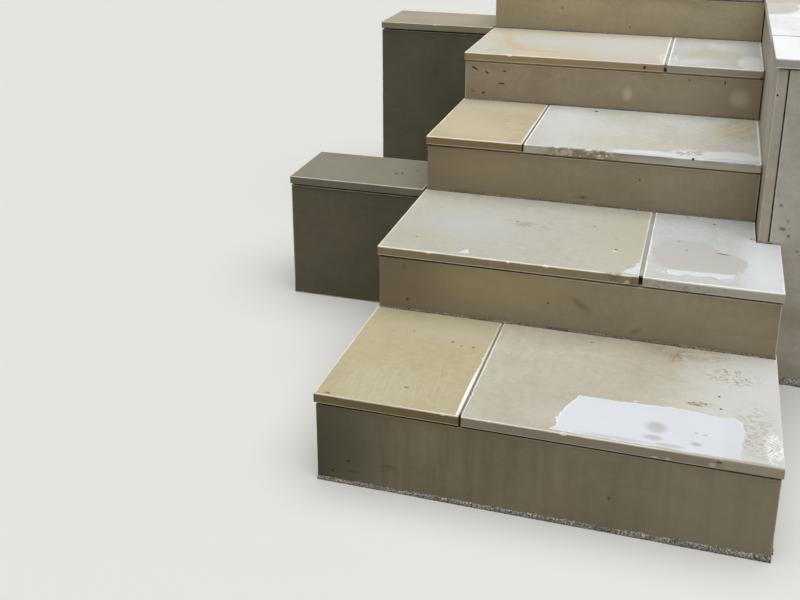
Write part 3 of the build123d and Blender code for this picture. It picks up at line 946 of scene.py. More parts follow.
# Each riser's top: the painted shade in the shadow joint behind its arris, its share, how far it reaches,
# and how pale the arris is, which is a painted highlight
RISER_TOP_SHADE_AND_HIGHLIGHT = (("#35280E", 1.0, 1600, 0.25), ("#64532E", 0.9, 560, 0.4), ("#64532E", 0.9, 420, 0.4),
              ("#A69470", 0.8, 1600, 0.45), ("#A08E68", 0.8, 1600, 0.45))
HALF_SLAB = 11.0        # the painted shade lies along the middle of the top, which is 22 mm deep
for number, (node, finish) in enumerate(RISER_FINISH.items()):
    box = box_mm(node)
    dirt_and_shade, share, shade_long, arris_share = RISER_TOP_SHADE_AND_HIGHLIGHT[number]
    top = box[1] - FLIGHT_ORIGIN
    finish["marks"].append(dict(at=(0, top[1] - HALF_SLAB, top[2]), half=(shade_long, 9.0, 1.5), colour=dirt_and_shade,
                                share=share, soft=0.1, ragged=0.1))
    surface = slab_surface(box, "front", 200 + number, chips=4, chip_size=2.0)
    stone = sandstone(node, lie=(0.12, 1, 1), tilt=0.0, dark_foot=True, arris_share=arris_share, **finish)
    piece(node + "_slab", [surface], stone, stands_for=[node])
print("risers:", len(RISER_FINISH))

# %% [markdown]
# The flanks hardly show from the front, so they need no marks of their own: one tone, faint rain runs,
# and a seed for every course, which moves the pattern. A flank node holds several slabs, and they are
# joined into one piece, because they are fixed to the same core.

# %% Flanks
FLANK_TONES = dict(tone="#B0A385", cloud="#A5987A", vein="#978A6A")
for side in ("left", "right"):
    for node in sorted(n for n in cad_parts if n.startswith("flank_" + side)):
        course = int(node[-1])
        surfaces = [slab_surface(box, side, 300 + 10 * course + i, chips=3, spacing=5.0)
                    for i, box in enumerate(solids_of(node))]
        stone = sandstone(node, seed=20 + course + 7 * (side == "right"), drips=0.25, tilt=0.0, **FLANK_TONES)
        piece(node + "_slabs", surfaces, stone, stands_for=[node])
print("flank pieces:", sum(n.startswith("flank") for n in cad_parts))

# %% [markdown]
# ## The wall beside the steps
#
# The front shows one wide slab and, beside an open joint, the edge of the first cheek slab as a narrow
# strip. The copings lie in full view of the sky. In front they are almost white, partly rain-washed
# stone and partly a painted highlight of the sky's glare, and further back drier and greyer.

# %% Wall slabs
WALL_FINISH = {
    "wall_front_slab": ("front", dict(tone="#CBC5BA", cloud="#C4BDB1", vein="#B9B1A4", seed=31, tilt=0.0,
                                      lie=(0.12, 1, 1), dark_foot=True, marks=[
        on_face(894, 458, 4, 3.4, "#8A8272", soft=0.4), on_face(913, 421, 3, 3, "#978F80", soft=0.4),
        on_face(903, 400, 8, 4, "#8A8070", soft=0.4, ragged=0.9),
        on_face(918, 384, 3, 4, "#9C7A66", soft=0.4),
        on_face(941, 348, 4, 3, "#978F80", soft=0.4),
        on_face(969, 177, 60, 30, "#A69C8C", soft=0.9, share=0.6),
    ])),
    "wall_cheek_slab_1": ("left", dict(tone="#CDC6BA", cloud="#C5BCAE", vein="#B7AE9E", seed=32, drips=0.2,
                                       marks=[
        on_face(856.5, 719, 2.4, 2.6, "#1A1612", soft=0.2),
        on_face(863, 300, 30, 200, "#A89C82", soft=0.9, share=0.6),
    ])),
    "wall_cheek_slab_2": ("left", dict(tone="#BFB6A4", cloud="#B5AB98", vein="#A89D88", seed=33, drips=0.2)),
    "wall_cheek_slab_3": ("left", dict(tone="#C1B8A6", cloud="#B7AD9A", vein="#AA9F8A", seed=34, drips=0.2)),
    # The near-white tones of the front copings are partly a painted highlight of the sky; the darker sawn
    # front edge of the first is partly its own colour and partly painted shade.
    "wall_coping_1": ("up", dict(tone="#FAFBFC", cloud="#F4F6F7", vein="#EEF0F0", edge="#A9A59B",
                                 edge_share=0.85, seed=35, cloud_share=0.4, marks=[
        on_top(997, 785, 300, 110, "#F6F8F9", soft=0.9, share=0.8, wet=True),
    ])),
    "wall_coping_2": ("up", dict(tone="#F4F6F7", cloud="#EDEFEF", vein="#E4E6E5", seed=36, marks=[
        on_top(845, 1440, 90, 146, "#C6C6BE", soft=0.1, ragged=0.4, share=0.95),
        on_top(985, 980, 240, 3.4, "#8E9193", ragged=0.2, share=0.85),
    ])),
    "wall_coping_3": ("up", dict(tone="#C9C6B8", cloud="#C1BCAA", vein="#B5AE98", seed=37)),
}
COPING_CORNER = 6.0
for number, (node, (facing, finish)) in enumerate(WALL_FINISH.items()):
    radii = [COPING_CORNER, 2.2, 2.2, 2.2] if node == "wall_coping_1" else 2.2
    lower_at = [((0, 1), LOWER_ARRIS)] if node == "wall_coping_1" else ()
    facing_up = facing == "up"
    surface = slab_surface(box_mm(node), facing, 400 + number, radii=radii, lower_at=lower_at, chips=4,
                           arris=1.5 if facing_up else 0.9, pale_rim=1.1 if facing_up else 0.4)
    piece(node + "_stone", [surface], sandstone(node, **finish), stands_for=[node])
print("wall slabs:", len(WALL_FINISH))

# %% [markdown]
# The two low planter walls have a face slab and a coping each. Their faces are the darkest stone here,
# partly damp and partly painted shade, and the dark tones of both copings are painted shade too. The
# lower coping has a few dark specks. The same two functions make them, with other numbers.

# %% Planter walls
# The dark tones of the planter faces and copings are partly painted shade.
PLANTER_FACE = dict(tone="#6A6452", cloud="#625C4A", vein="#574F3F", drips=0.3, tilt=0.0, lie=(0.12, 1, 1))
PLANTER_FINISH = {
    "lower_planter_face_slab": ("front", PLANTER_FACE),
    "upper_planter_face_slab": ("front", PLANTER_FACE),
    "lower_planter_coping": ("up", dict(tone="#807E6D", cloud="#787662", vein="#6E6A56", marks=[
        on_top(-119, 940, 6, 4, "#2E2A24"), on_top(-103, 947, 3, 7, "#2E2A24"),
        on_top(-70, 984, 4, 3, "#4E463A", soft=0.4),
    ])),
    "upper_planter_coping": ("up", dict(tone="#A39A84", cloud="#9B927B", vein="#8E856E")),
}
for seed, (node, (facing, finish)) in enumerate(PLANTER_FINISH.items()):
    lower_at = [((0, 1), LOWER_ARRIS)] if facing == "up" else ()
    surface = slab_surface(box_mm(node), facing, 500 + seed, lower_at=lower_at, pale_rim=0.8)
    piece(node + "_stone", [surface], sandstone(node, seed=40 + seed, **finish), stands_for=[node])
print("planter slabs:", len(PLANTER_FINISH))

# %% [markdown]
# ## Mortar
#
# The joints are filled with sandy mortar, raked a little below the faces, and a bead of it is left at the
# foot of each riser where the slab was bedded. Both are one profile carried along a straight line: the
# profile changes a little at every station, which gives the crumbly skin, and loose grains lie in it.

# %% Profiles carried along a line
def carried(start, along, length, out, up, profile):
    """Carries a closed profile along a line: point j of station i lies profile[i, j, 0] out from the line
    and profile[i, j, 1] up from it. The ends are closed by the first and last profile."""
    stations, around = profile.shape[:2]
    line = start + np.linspace(0, length, stations)[:, None] * along
    points = line[:, None] + profile[:, :, :1] * out + profile[:, :, 1:] * up
    here = (np.arange(stations - 1)[:, None] * around + np.arange(around)).ravel()
    beside = (np.arange(stations - 1)[:, None] * around + np.roll(np.arange(around), -1)).ravel()
    quads = np.stack([here, beside, beside + around, here + around], axis=1)
    caps = [np.arange(around)[::-1], np.arange(around) + (stations - 1) * around]
    if np.dot(np.cross(out, up), along) < 0:
        quads, caps = quads[:, ::-1], [cap[::-1] for cap in caps]
    return points.reshape(-1, 3), quads, caps, np.zeros(stations * around)


SLOW_STEP = 12          # stations from one knot of a bead's slow change to the next


def bead(start, along, length, out, up, reach, rise, seed, spacing=2.5):
    """A crumbly fillet in a right-angled foot: at turn t its skin lies reach·cos t·k out and rise·sin t·k
    up, where k is a random roughness between 0.45 and 1 that differs from point to point. A pair of rises
    is taken as the rise at the start and at the end."""
    random = np.random.default_rng(seed)
    stations = max(int(length / spacing), 3)
    rise = np.linspace(*np.broadcast_to(rise, 2), stations)[:, None]
    t = np.linspace(0, math.pi / 2, 6)
    knots = np.arange(0, stations + 2 * SLOW_STEP, SLOW_STEP)
    slow = np.interp(np.arange(stations), knots, random.random(len(knots)))
    rough = 0.45 + 0.3 * slow[:, None] + 0.25 * random.random((stations, len(t)))
    skin = np.stack([reach * np.cos(t) * rough, rise * np.sin(t) * rough], axis=2)
    inner = np.broadcast_to([[0.0, 0.0]], (stations, 1, 2))
    return carried(start, along, length, out, up, np.concatenate([skin, inner], axis=1))


def strip(start, along, length, out, up, width, height, seed, spacing=2.5, sag=0.7):
    """A bar of grout with a hollow, sandy top: at share s of its width it lies 4·sag·s(1 - s) lower."""
    random = np.random.default_rng(seed)
    stations = max(int(length / spacing), 3)
    s = np.linspace(0, 1, 6)
    top = height - 4 * sag * s * (1 - s) - 0.5 * random.random((stations, len(s)))
    skin = np.stack([np.broadcast_to(width * s[::-1], top.shape), top[:, ::-1]], axis=2)
    base = np.broadcast_to([[0.0, 0.0], [width, 0.0]], (stations, 2, 2))
    return carried(start, along, length, out, up, np.concatenate([base, skin], axis=1))


print("points of a bead 100 mm long:", len(bead(np.zeros(3), X, 100.0, -Y, Z, 5.0, 5.0, 0)[0]))

# %% [markdown]
# Loose grains are twenty-sided pebbles: the twelve corners of an icosahedron are (0, 1, g) with every
# change of sign and every turn of the three places, where g is the golden ratio. They could be scattered
# by Geometry Nodes, but as plain arrays they stay in the bead's own mesh, and each can be cut flat where
# it meets the stone.

# %% Grains
GOLDEN = (1 + 5 ** 0.5) / 2
PEBBLE = np.array([
    (-1, GOLDEN, 0), (1, GOLDEN, 0), (-1, -GOLDEN, 0), (1, -GOLDEN, 0),
    (0, -1, GOLDEN), (0, 1, GOLDEN), (0, -1, -GOLDEN), (0, 1, -GOLDEN),
    (GOLDEN, 0, -1), (GOLDEN, 0, 1), (-GOLDEN, 0, -1), (-GOLDEN, 0, 1),
])
PEBBLE = PEBBLE / np.linalg.norm(PEBBLE[0])
PEBBLE_FACES = np.array([
    (0, 11, 5), (0, 5, 1), (0, 1, 7), (0, 7, 10), (0, 10, 11), (1, 5, 9), (5, 11, 4), (11, 10, 2), (10, 7, 6),
    (7, 1, 8), (3, 9, 4), (3, 4, 2), (3, 2, 6), (3, 6, 8), (3, 8, 9), (4, 9, 5), (2, 4, 11), (6, 2, 10),
    (8, 6, 7), (9, 8, 1),
])


def grains(start, along, length, out, up, reach, rise, number, size, seed):
    """Sand grains half sunk in a bead: twenty-sided pebbles at random places on the quarter round from
    (reach, 0) to (0, rise), each stretched a little differently and cut flat where it would sink below
    the line."""
    random = np.random.default_rng(seed)
    t = random.uniform(0, math.pi / 2, number)[:, None]
    share = random.uniform(0.004, 0.996, (number, 1))
    rise = np.interp(share, [0, 1], np.broadcast_to(rise, 2))
    centres = start + share * length * along + 0.62 * reach * np.cos(t) * out + 0.62 * rise * np.sin(t) * up
    sizes = size * random.uniform(0.35, 1.0, (number, 1, 1)) * random.uniform(0.75, 1.2, (number, 1, 3))
    points = centres[:, None] + PEBBLE * sizes
    sunk = np.clip(start @ up - points @ up, 0, None)
    points = points + sunk[:, :, None] * up
    faces = (np.arange(number)[:, None, None] * len(PEBBLE) + PEBBLE_FACES).reshape(-1, 3)
    return points.reshape(-1, 3), faces, [], np.zeros(number * len(PEBBLE))


print("corners and faces of a pebble:", len(PEBBLE), len(PEBBLE_FACES))

# %% [markdown]
# Mortar is sand in cement: grey, matt, and speckled by the sand itself. The grains are drawn at the size
# of the coarsest sand, 3 mm, because finer ones would vanish in the picture.

# %% Mortar finish
SAND_MM = 3.0
PATCH_MM = 60.0
PAINTED_SHADE_TONE = "#2A2010"


def sandy_mortar(name, tone, light, dark, dirt_and_shade=0.3, marks=(), painted_shade_to=None):
    """Sandy cement mortar: light and dark grains over one tone, with broad damp patches and marks. Given a
    height, it is painted darker at its foot and lighter with height up to there: painted shade for the
    shadow joints under the lowest treads."""
    material, tree = new_material(name)
    coordinates = add(tree, "ShaderNodeTexCoord", out=3)
    sand = add(tree, "ShaderNodeTexNoise", {
        "Vector": coordinates, "Scale": per(SAND_MM), "Detail": 2.0, "Roughness": 0.8,
    })
    patch = add(tree, "ShaderNodeTexNoise", {"Vector": coordinates, "Scale": per(PATCH_MM), "Detail": 3.0})
    colour = stained(tree, tone, sand, 0.52, 0.66, 1.0, light)
    colour = stained(tree, colour, sand, 0.46, 0.34, 1.0, dark)
    colour = stained(tree, colour, patch, 0.42, 0.66, dirt_and_shade, dark)
    if painted_shade_to is not None:
        height = add(tree, "ShaderNodeSeparateXYZ", {"Vector": coordinates}, out=2)
        colour = stained(tree, colour, height, painted_shade_to * MM, 0.45 * painted_shade_to * MM, 1.0, PAINTED_SHADE_TONE)
    colour, _ = marked(tree, coordinates, colour, None, marks)
    normal = add(tree, "ShaderNodeBump", {"Height": sand, "Strength": 0.6, "Distance": 0.001})
    shader = add(tree, "ShaderNodeBsdfPrincipled", {
        "Base Color": colour, "Roughness": 0.9, "Normal": normal, "Specular IOR Level": 0.2,
    })
    add(tree, "ShaderNodeOutputMaterial", {"Surface": shader})
    return material


# The bedding mortar shows mostly in the shadow joints under the treads: its pale tone is painted light that
# lifts them, and its darker foot up to 360 mm is painted shade in those of the lowest steps.
BED_MORTAR = sandy_mortar("bedding_mortar", "#E2D4B2", "#EEE2C6", "#B8A884", painted_shade_to=360.0)
BLOCK_MORTAR = sandy_mortar("blockwork_mortar", "#A8A499", "#C0BCB1", "#7E796D")
FOOT_MORTAR = sandy_mortar("spilt_mortar", "#8F8A80", "#EFEDE6", "#2A261E")
TREAD_FOOT_MORTAR = sandy_mortar("dirty_mortar_on_the_treads", "#827B6D", "#BDB7AA", "#2E281E", dirt_and_shade=0.5)
print("sand grain drawn at, mm:", SAND_MM)

# %% [markdown]
# Every joint has its own tone: the lowest is a mid grey, the next is clean grey, the narrow one above is
# dark, and between the copings the mortar is a pale grey. All the others are open at the front, and their
# last few millimetres are painted black: painted shade in the mouth of the joint.

# %% Filled joints
def open_front(x, y, level):
    """The dark mouth of a joint in the front edge of a tread: painted shade in its open end."""
    return dict(at=(x, y, level - 13), half=(12, 20, 12), colour="#2A2218", ragged=0.4)


JOINT_FINISH = [
    ("#8A867E", "#A4A097", "#6A665D", [open_front(302, -5, 205)]),
    ("#A7A7A4", "#BABAB7", "#868683", [open_front(603, 415, 361)]),
    ("#77736E", "#8F8B86", "#5A564F", [open_front(257, 835, 512)]),
    ("#B4B7B9", "#C4C7C9", "#989B9D", []),
    ("#AEADA8", "#C2C1BC", "#8B8A83", [open_front(583, 1255, 646)]),
    ("#B4B7B9", "#C4C7C9", "#989B9D", []),
    ("#8A8680", "#A39F9A", "#6A665F", [open_front(246, 1675, 805)]),
]
GROUT_LIFT = 1.0         # the mortar stands up to the foot of the arrises
rows = zip(solids_of("tile_joints"), JOINT_FINISH, strict=True)
for number, ((lo, hi), (tone, light, dark, marks)) in enumerate(rows, 1):
    level_up = hi[1] - lo[1] > hi[0] - lo[0]
    along, out = (Y, X) if level_up else (X, Y)
    span = hi - lo
    grout = strip(lo, along, span @ along, out, Z, span @ out, span[2] + GROUT_LIFT, 600 + number, sag=0.4)
    finish = sandy_mortar(f"raked_grout_{number}", tone, light, dark, dirt_and_shade=0.4, marks=marks)
    piece(f"tile_joint_{number}_grout", [grout], finish, stands_for=["tile_joints"])
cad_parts["mortar_beds"].data.materials.clear()
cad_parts["mortar_beds"].data.materials.append(BED_MORTAR)
print("filled joints:", len(JOINT_FINISH))

# %% [markdown]
# From the third step up, the treads end a little short of the wall's cheek slabs. That gap is grouted
# too, with the same hollow strip, a little lower than the treads.

# %% Mortar between the treads and the wall
BEHIND_EDGE, BELOW_TOP = 12.0, 1.5      # the grout starts behind the treads' edge and stays below their tops
END_GROUT = sandy_mortar("wall_side_grout", "#A5A29A", "#C4C1BA", "#6A6559")
grout_surfaces = []
for step in (3, 4, 5):
    lo, hi = box_mm(f"tread_{step}_right")
    gap = box_mm("wall_cheek_slab_1")[0][0] - hi[0]
    start = lo * (0, 1, 1) + (hi[0], BEHIND_EDGE, 0)
    grout_surfaces.append(strip(start, Y, hi[1] - start[1], X, Z, gap, hi[2] - lo[2] - BELOW_TOP, 620 + step,
                                sag=0.3))
piece("wall_side_grout", grout_surfaces, END_GROUT)
print("width of that joint, mm:", round(gap, 1))

# %% [markdown]
# Each riser gets its bead, with loose grains in it. A curve with a bevel would make an even fillet, and
# an even fillet looks like rubber: the crumbs make it mortar. The lowest bead gets taller towards the
# right, where more of the mortar was left.

# %% Beads at the feet of the risers
FOOT_BEADS = {1: (4.4, (9.0, 18.0), 700), 2: (7.0, 6.0, 420), 3: (6.0, 5.0, 260), 4: (5.0, 4.0, 200),
              5: (5.0, 4.0, 200)}    # reach, rise, and grains per metre
for step, (reach, rise, per_metre) in FOOT_BEADS.items():
    lo, hi = box_mm(f"riser_{step}")
    length = hi[0] - lo[0]
    number = int(per_metre * length / 1000)
    surfaces = [bead(lo, X, length, -Y, Z, reach, rise, 700 + step),
                grains(lo, X, length, -Y, Z, reach, rise, number, 1.7, 720 + step)]
    piece(f"riser_{step}_foot_mortar", surfaces, FOOT_MORTAR if step == 1 else TREAD_FOOT_MORTAR)
print("riser beads:", len(FOOT_BEADS))

# %% [markdown]
# The wall and both flanks have a bead along their feet, and the narrow strip beside the second tread has
# one on the tread. The table gives where each starts, its direction and length, where it spreads to, how
# far it reaches, how high it rises, and its grains per millimetre. These beads are pale and rough,
# because nobody walks on them.

# %% Beads at the foot of the wall and the flanks
LEFT_BEAD_LONG = 795.0   # it ends before the lower planter
front_lo, front_hi = box_mm("wall_front_slab")
flank_lo, flank_hi = box_mm("flank_right_1")
strip_lo = box_mm("wall_cheek_slab_1")[0]
notched_hi = box_mm("tread_2_right")[1]
left_lo = box_mm("flank_left_1")[0]
edge_beads = {
    "wall_foot_mortar": ((flank_hi[0], front_lo[1], 0), X, front_hi[0] - flank_hi[0], -Y, 15.0, 20.0, 0.8),
    "right_flank_foot_mortar": ((flank_hi[0], flank_lo[1], 0), Y, front_lo[1] - flank_lo[1], X,
                                8.0, 12.0, 0.5),
    "left_flank_foot_mortar": ((left_lo[0], left_lo[1], 0), Y, LEFT_BEAD_LONG, -X, 8.0, 12.0, 0.4),
    "wall_strip_foot_mortar": ((strip_lo[0] - 2, strip_lo[1], notched_hi[2]), X,
                               notched_hi[0] - strip_lo[0] + 1, -Y, 4.5, 5.0, 0.4),
}
for number, (name, (at, along, length, out, reach, rise, density)) in enumerate(edge_beads.items()):
    start = np.array(at)
    surfaces = [bead(start, along, length, out, Z, reach, rise, 740 + number),
                grains(start, along, length, out, Z, reach, rise, int(density * length), 2.2, 750 + number)]
    piece(name, surfaces, FOOT_MORTAR)
print("edge beads:", len(edge_beads))

# %% [markdown]
# ## Blockwork
#
# Where the slabs stop, at the back and beyond the wall, the builder's blocks show: 440 by 215 mm, with
# 10 mm joints, each course shifted by half a block. Each block is a small slab surface with softer edges,
# and one mass of mortar stands a few millimetres behind their faces.

# %% Block finish
BLOOM_MM = 170.0
STONE_MM = 6.0
PORES_APART = 2.4       # from centre to centre, in holes


def concrete_block(name, tone, pale, dark, hole_mm=5.0):
    """Dense aggregate block: a grey face with lime bloom, stone specks and open pores."""
    material, tree = new_material(name)
    coordinates = add(tree, "ShaderNodeTexCoord", out=3)
    bloom = add(tree, "ShaderNodeTexNoise", {
        "Vector": coordinates, "Scale": per(BLOOM_MM), "Detail": 4.0, "Roughness": 0.6,
    })
    stones = add(tree, "ShaderNodeTexNoise", {
        "Vector": coordinates, "Scale": per(STONE_MM), "Detail": 3.0, "Roughness": 0.75,
    })
    pores = add(tree, "ShaderNodeTexVoronoi", {"Vector": coordinates, "Scale": per(PORES_APART * hole_mm)})
    open_pore = add(tree, "ShaderNodeMapRange", {"Value": pores, "From Min": 0.26, "From Max": 0.12})
    colour = stained(tree, tone, bloom, 0.4, 0.7, 0.6, pale)
    colour = shaded(tree, colour, stones, 0.35, 0.65, 0.78, 1.15)
    colour = add(tree, "ShaderNodeMix", {0: open_pore, 6: colour, 7: dark}, out=2, data_type="RGBA")
    height = add(tree, "ShaderNodeMath", {0: open_pore, 1: -1.6, 2: stones}, operation="MULTIPLY_ADD")
    normal = add(tree, "ShaderNodeBump", {"Height": height, "Strength": 0.7, "Distance": 0.0015})
    shader = add(tree, "ShaderNodeBsdfPrincipled", {
        "Base Color": colour, "Roughness": 0.92, "Normal": normal, "Specular IOR Level": 0.2,
    })
    add(tree, "ShaderNodeOutputMaterial", {"Surface": shader})
    return material


BLOCK = concrete_block("dense_concrete_block", "#B3B0A9", "#C9C7C0", "#67645E")
CONCRETE = concrete_block("cast_concrete", "#9B978D", "#B1ADA2", "#5F5B52", hole_mm=8.0)
print("materials so far:", len(bpy.data.materials))

# %% [markdown]
# A course is a row of spans: whole blocks with a joint between them, and a cut one at each end. A block
# too short to cut isn't laid, so its neighbour runs on to the end. An Array modifier could repeat one
# block, but then all would be chipped alike and none would be cut.

# %% Courses of blocks
BLOCK_LONG, BLOCK_TALL, BLOCK_JOINT, RAKED = 440.0, 215.0, 10.0, 4.0
SHORTEST_END, SHORTEST_START, LOWEST_COURSE = 40.0, 60.0, 30.0


def course_spans(length, shift):
    """Starts and ends of one course's blocks. The first block starts at shift, before the course itself."""
    pitch = BLOCK_LONG + BLOCK_JOINT
    ends = np.append(np.arange(shift + BLOCK_LONG, length - SHORTEST_END, pitch), length)
    starts = np.append(0.0, ends[:-1] + BLOCK_JOINT)
    return list(zip(starts, ends))


def courses(bottom, top, tall):
    """Bottoms and tops of the courses up to a height; the last one is cut."""
    bottoms = np.arange(bottom, top - LOWEST_COURSE, tall + BLOCK_JOINT)
    return [(z, min(z + tall, top)) for z in bottoms]


def leaf(box, facing, seed, tall=BLOCK_TALL, first_shift=0.0):
    """A leaf of blocks that fills a box, in half bond, each block drawn with its show face outwards."""
    run = 0 if facing in ("front", "back") else 1
    pitch = BLOCK_LONG + BLOCK_JOINT
    surfaces = []
    for row, (z0, z1) in enumerate(courses(box[0][2], box[1][2], tall)):
        shift = (first_shift + row * pitch / 2) % pitch - BLOCK_LONG
        shift = shift if shift + BLOCK_LONG > SHORTEST_START else shift + pitch
        for i, (a, b) in enumerate(course_spans(box[1][run] - box[0][run], shift)):
            block = box.copy()
            block[:, run] = box[0][run] + a, box[0][run] + b
            block[:, 2] = z0, z1
            surfaces.append(slab_surface(block, facing, seed + 31 * row + i, radii=2.0, arris=1.6, lower=1.6,
                                         chips=5, chip_size=5.0, spacing=9.0))
    return surfaces


def mass(box, outline=None):
    """A plain mass behind the blocks, drawn from above."""
    return slab_surface(np.asarray(box, float), "up", 0, outline, radii=1.0, arris=1.0, lower=1.0, chips=0,
                        spacing=40.0)


print("blocks in a course of 2 m:", len(course_spans(2000.0, 0.0)))

# %% [markdown]
# The wall is an L of two leaves of blocks, so four leaves are drawn round it, and each planter shows one
# from the back. The mortar mass behind them is the same plan, a few millimetres smaller.

# %% Wall and planter blocks
LEAF, LEG = 100.0, 250.0
core_lo, core_hi = box_mm("wall_core")
leg_right, leg_back = core_lo[:2] + LEG
top_z = core_hi[2]
leaves = []
for number, (x0, x1, y0, y1, facing) in enumerate((
        (leg_right - LEAF, core_hi[0], leg_back - LEAF, leg_back, "back"),
        (core_lo[0], core_hi[0], core_lo[1], core_lo[1] + LEAF, "front"),
        (leg_right - LEAF, leg_right, leg_back + BLOCK_JOINT, core_hi[1], "right"),
        (core_lo[0], core_lo[0] + LEAF, core_lo[1] + LEAF + BLOCK_JOINT, core_hi[1], "left"))):
    box = np.array([(x0, y0, 0.0), (x1, y1, top_z)])
    leaves += leaf(box, facing, 800 + 100 * number, first_shift=130.0 * number)
piece("wall_blockwork", leaves, BLOCK, stands_for=["wall_core"])
x0, y0, x1, y1 = core_lo[0] + RAKED, core_lo[1] + RAKED, core_hi[0] - RAKED, core_hi[1] - RAKED
infill_box = [(x0, y0, 0.0), (x1, y1, top_z - 1)]
infill = mass(infill_box, notched(infill_box, (leg_right - RAKED, leg_back - RAKED)))
piece("wall_infill", [infill], BLOCK_MORTAR)
for seed, planter in enumerate(("lower_planter", "upper_planter")):
    box = box_mm(planter + "_core")
    piece(planter + "_blockwork", leaf(box, "back", 1300 + 50 * seed), BLOCK, stands_for=[planter + "_core"])
    inner = box + np.array([(RAKED, RAKED, 0), (-RAKED, -RAKED, -1)])
    piece(planter + "_infill", [mass(inner)], BLOCK_MORTAR)
print("wall blocks:", len(leaves))

# %% [markdown]
# The core under the treads is laid in courses too, one to each rise with a bed joint on top, and its
# blocks are as tall as the rise leaves them. Only its back end shows. The two lowest courses reach round
# the wall's corner.

# %% Core courses
CORE_BLOCK_DEEP = 215.0
STEPS = 5
wall_x, wall_y = box_mm("wall_cheek_slab_1")[0][:2]
for step in range(1, STEPS + 1):
    node = f"core_course_{step}"
    lo, hi = box_mm(node)
    back_row = np.array([(lo[0], hi[1] - CORE_BLOCK_DEEP, lo[2]), (wall_x, hi[1], hi[2] - BLOCK_JOINT)])
    surfaces = leaf(back_row, "back", 1400 + 20 * step, hi[2] - lo[2] - BLOCK_JOINT, 200.0 * (step % 2))
    piece(node + "_blocks", surfaces, BLOCK, stands_for=[node])
    back = hi[1] - RAKED
    if lo[1] < wall_y:
        plan = [(lo[0], lo[1]), (hi[0], lo[1]), (hi[0], wall_y), (wall_x, wall_y), (wall_x, back),
                (lo[0], back)]
        filling = mass([lo, hi], plan)
    else:
        filling = mass([lo, (wall_x, back, hi[2])])
    piece(node + "_filling", [filling], CONCRETE)
print("core courses:", STEPS)

# %% [markdown]
# ## Rain on the treads
#
# The lowest tread holds a sheet of water that mirrors the sky, with a straight far side where it stops at
# a slight hollow and ragged ends. It is a film half a millimetre thick: the outline is walked from a few
# points and shaken by random ripples, and a few rings inside it, each a little higher, round it off.

# %% Water films
RIM = np.array([0.0, 0.25, 0.9, 2.8, 4.5])
FILM_THICK = 0.6
FILM_STEP = 2.0


def film(points, level_mm, ragged, seed):
    """A thin drop with a ragged outline. Ring k lies an inset s in from the outline, and its height is
    thick·sqrt(1 - (1 - s/s_last)²), so that the rim is steep and the top almost flat. The rim is painted
    white on the far and left sides, a painted highlight where it turns towards the open sky."""
    random = np.random.default_rng(seed)
    corners = np.array([flight(x, y, 0)[:2] for x, y in points])
    edge, _ = walk_round(corners, np.full(len(points), 1.5), FILM_STEP)
    count = len(edge)
    wave = ripple(count, max(count // 3, 3), random) + 0.8 * ripple(count, max(count // 9, 3), random)
    middle = edge.mean(axis=0)
    spoke = edge - middle
    reach = np.linalg.norm(spoke, axis=1)[:, None]
    spoke = spoke / reach
    reach = reach - ragged * wave[:, None]
    lift = FILM_THICK * np.sqrt(1 - (1 - RIM / RIM[-1]) ** 2)
    flat = middle + spoke[None] * (reach[None] - np.minimum(RIM[:, None, None], 0.7 * reach[None]))
    heights = np.broadcast_to((level_mm + lift)[:, None, None], (len(RIM), count, 1))
    rings = np.concatenate([flat, heights], axis=2)[::-1]
    under = np.concatenate([flat[:1], np.full((1, count, 1), level_mm - 0.2)], axis=2)
    rings = np.concatenate([rings, under])
    bright = np.clip(0.5 + 2.0 * spoke[:, 1] - 0.6 * spoke[:, 0], 0, 1)
    rim = np.outer([0.0, 1.0, 1.0, 1.0, 1.0, 1.0], bright).ravel()
    return rings.reshape(-1, 3), *stitched(len(rings), count), rim


print("points of a small drop:", len(film([(0, 0), (9, 1), (5, 8)], 205.0, 0.5, 0)[0]))

# %% [markdown]
# Clear water could be a glass shader. But a film this thin, seen at a low angle under a bright sky, shows
# the sky more than the stone, so its pale bluish colour is a painted reflection of the sky: a milky gloss,
# which also renders clean with few samples. Its rim is painted white, a painted highlight where it curves
# down to the stone, and the painted reflection is duller in a few spots where the stone is near. The IOR
# is that of water.

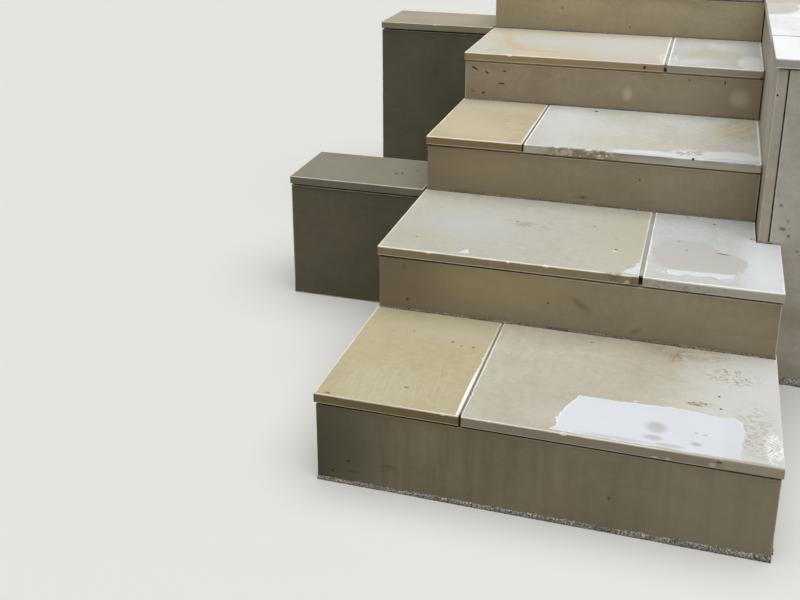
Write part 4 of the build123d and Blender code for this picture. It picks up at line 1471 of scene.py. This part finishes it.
# %% Rain finish
DULLER_REFLECTION = "#C0BEC0"
RAIN, tree = new_material("rain_film")
coordinates = add(tree, "ShaderNodeTexCoord", out=3)
slow = add(tree, "ShaderNodeTexNoise", {"Vector": coordinates, "Scale": per(120.0), "Detail": 2.0})
colour = stained(tree, "#E0E4EA", slow, 0.45, 0.75, 0.35, "#D3D8DF")
colour, _ = marked(tree, coordinates, colour, None, [
    on_top(673, 68, 19, 18, DULLER_REFLECTION, soft=0.5, share=0.9), on_top(668, 30, 17, 9, DULLER_REFLECTION, soft=0.5, share=0.9),
    on_top(747, 30, 10, 7, DULLER_REFLECTION, soft=0.5, share=0.9), on_top(701, 11, 26, 6, DULLER_REFLECTION, soft=0.5, share=0.7),
    on_top(746, 69, 4, 3, DULLER_REFLECTION, soft=0.4, share=0.8), on_top(763, 66, 5, 3.5, DULLER_REFLECTION, soft=0.4, share=0.8),
    on_top(600, 8, 70, 6, DULLER_REFLECTION, soft=0.6, share=0.5),
], front_and_top("tread_1_right"))
rim = add(tree, "ShaderNodeAttribute", attribute_name="arris", out=2)
colour = add(tree, "ShaderNodeMix", {0: rim, 6: colour, 7: "#FCFCFC"}, out=2, data_type="RGBA")
shader = add(tree, "ShaderNodeBsdfPrincipled", {"Base Color": colour, "Roughness": 0.12, "IOR": 1.33})
add(tree, "ShaderNodeOutputMaterial", {"Surface": shader})
print("nodes in the rain:", len(tree.nodes))

# %% [markdown]
# The rain lies in the same few hollows of the three lowest treads. Of each drop, the table gives its
# outline on the flight and how ragged it is. All the drops of a tread are one piece.

# %% Drops on the treads
DROPS = {
    1: [([(473, 3), (600, -1), (829, 1), (832, 46), (836, 73), (837, 108), (834, 123), (830, 138), (816, 146),
          (792, 140), (751, 149), (687, 154), (626, 150), (596, 145), (513, 145), (495, 97), (481, 49),
          (484, 19)], 3.0),
        ([(620, 151), (626, 158), (633, 152)], 0.5)],
    2: [([(655, 474), (684, 478), (727, 481), (769, 483), (803, 485), (801, 464), (770, 450), (750, 461),
          (728, 452), (700, 458), (686, 448), (658, 452)], 2.5),
        ([(562, 428), (596, 424), (596, 445), (595, 492), (588, 490), (586, 470), (578, 456),
          (566, 447)], 1.2),
        ([(187, 431), (216, 434), (204, 460)], 0.8), ([(643, 460), (652, 458), (650, 466)], 0.5),
        ([(646, 476), (655, 477), (650, 484)], 0.5), ([(805, 502), (814, 503), (809, 512)], 0.5)],
    3: [([(500, 829), (640, 829), (636, 842), (560, 846), (510, 840)], 3.0),
        ([(704, 829), (838, 829), (840, 850), (800, 856), (760, 868), (716, 846)], 5.0)],
}
for step, drops in DROPS.items():
    level = box_mm(f"tread_{step}_right")[1][2]
    surfaces = [film(points, level, ragged, 1590 + 10 * step + i) for i, (points, ragged) in enumerate(drops)]
    piece(f"rain_on_tread_{step}", surfaces, RAIN)
print("drops:", sum(len(drops) for drops in DROPS.values()))
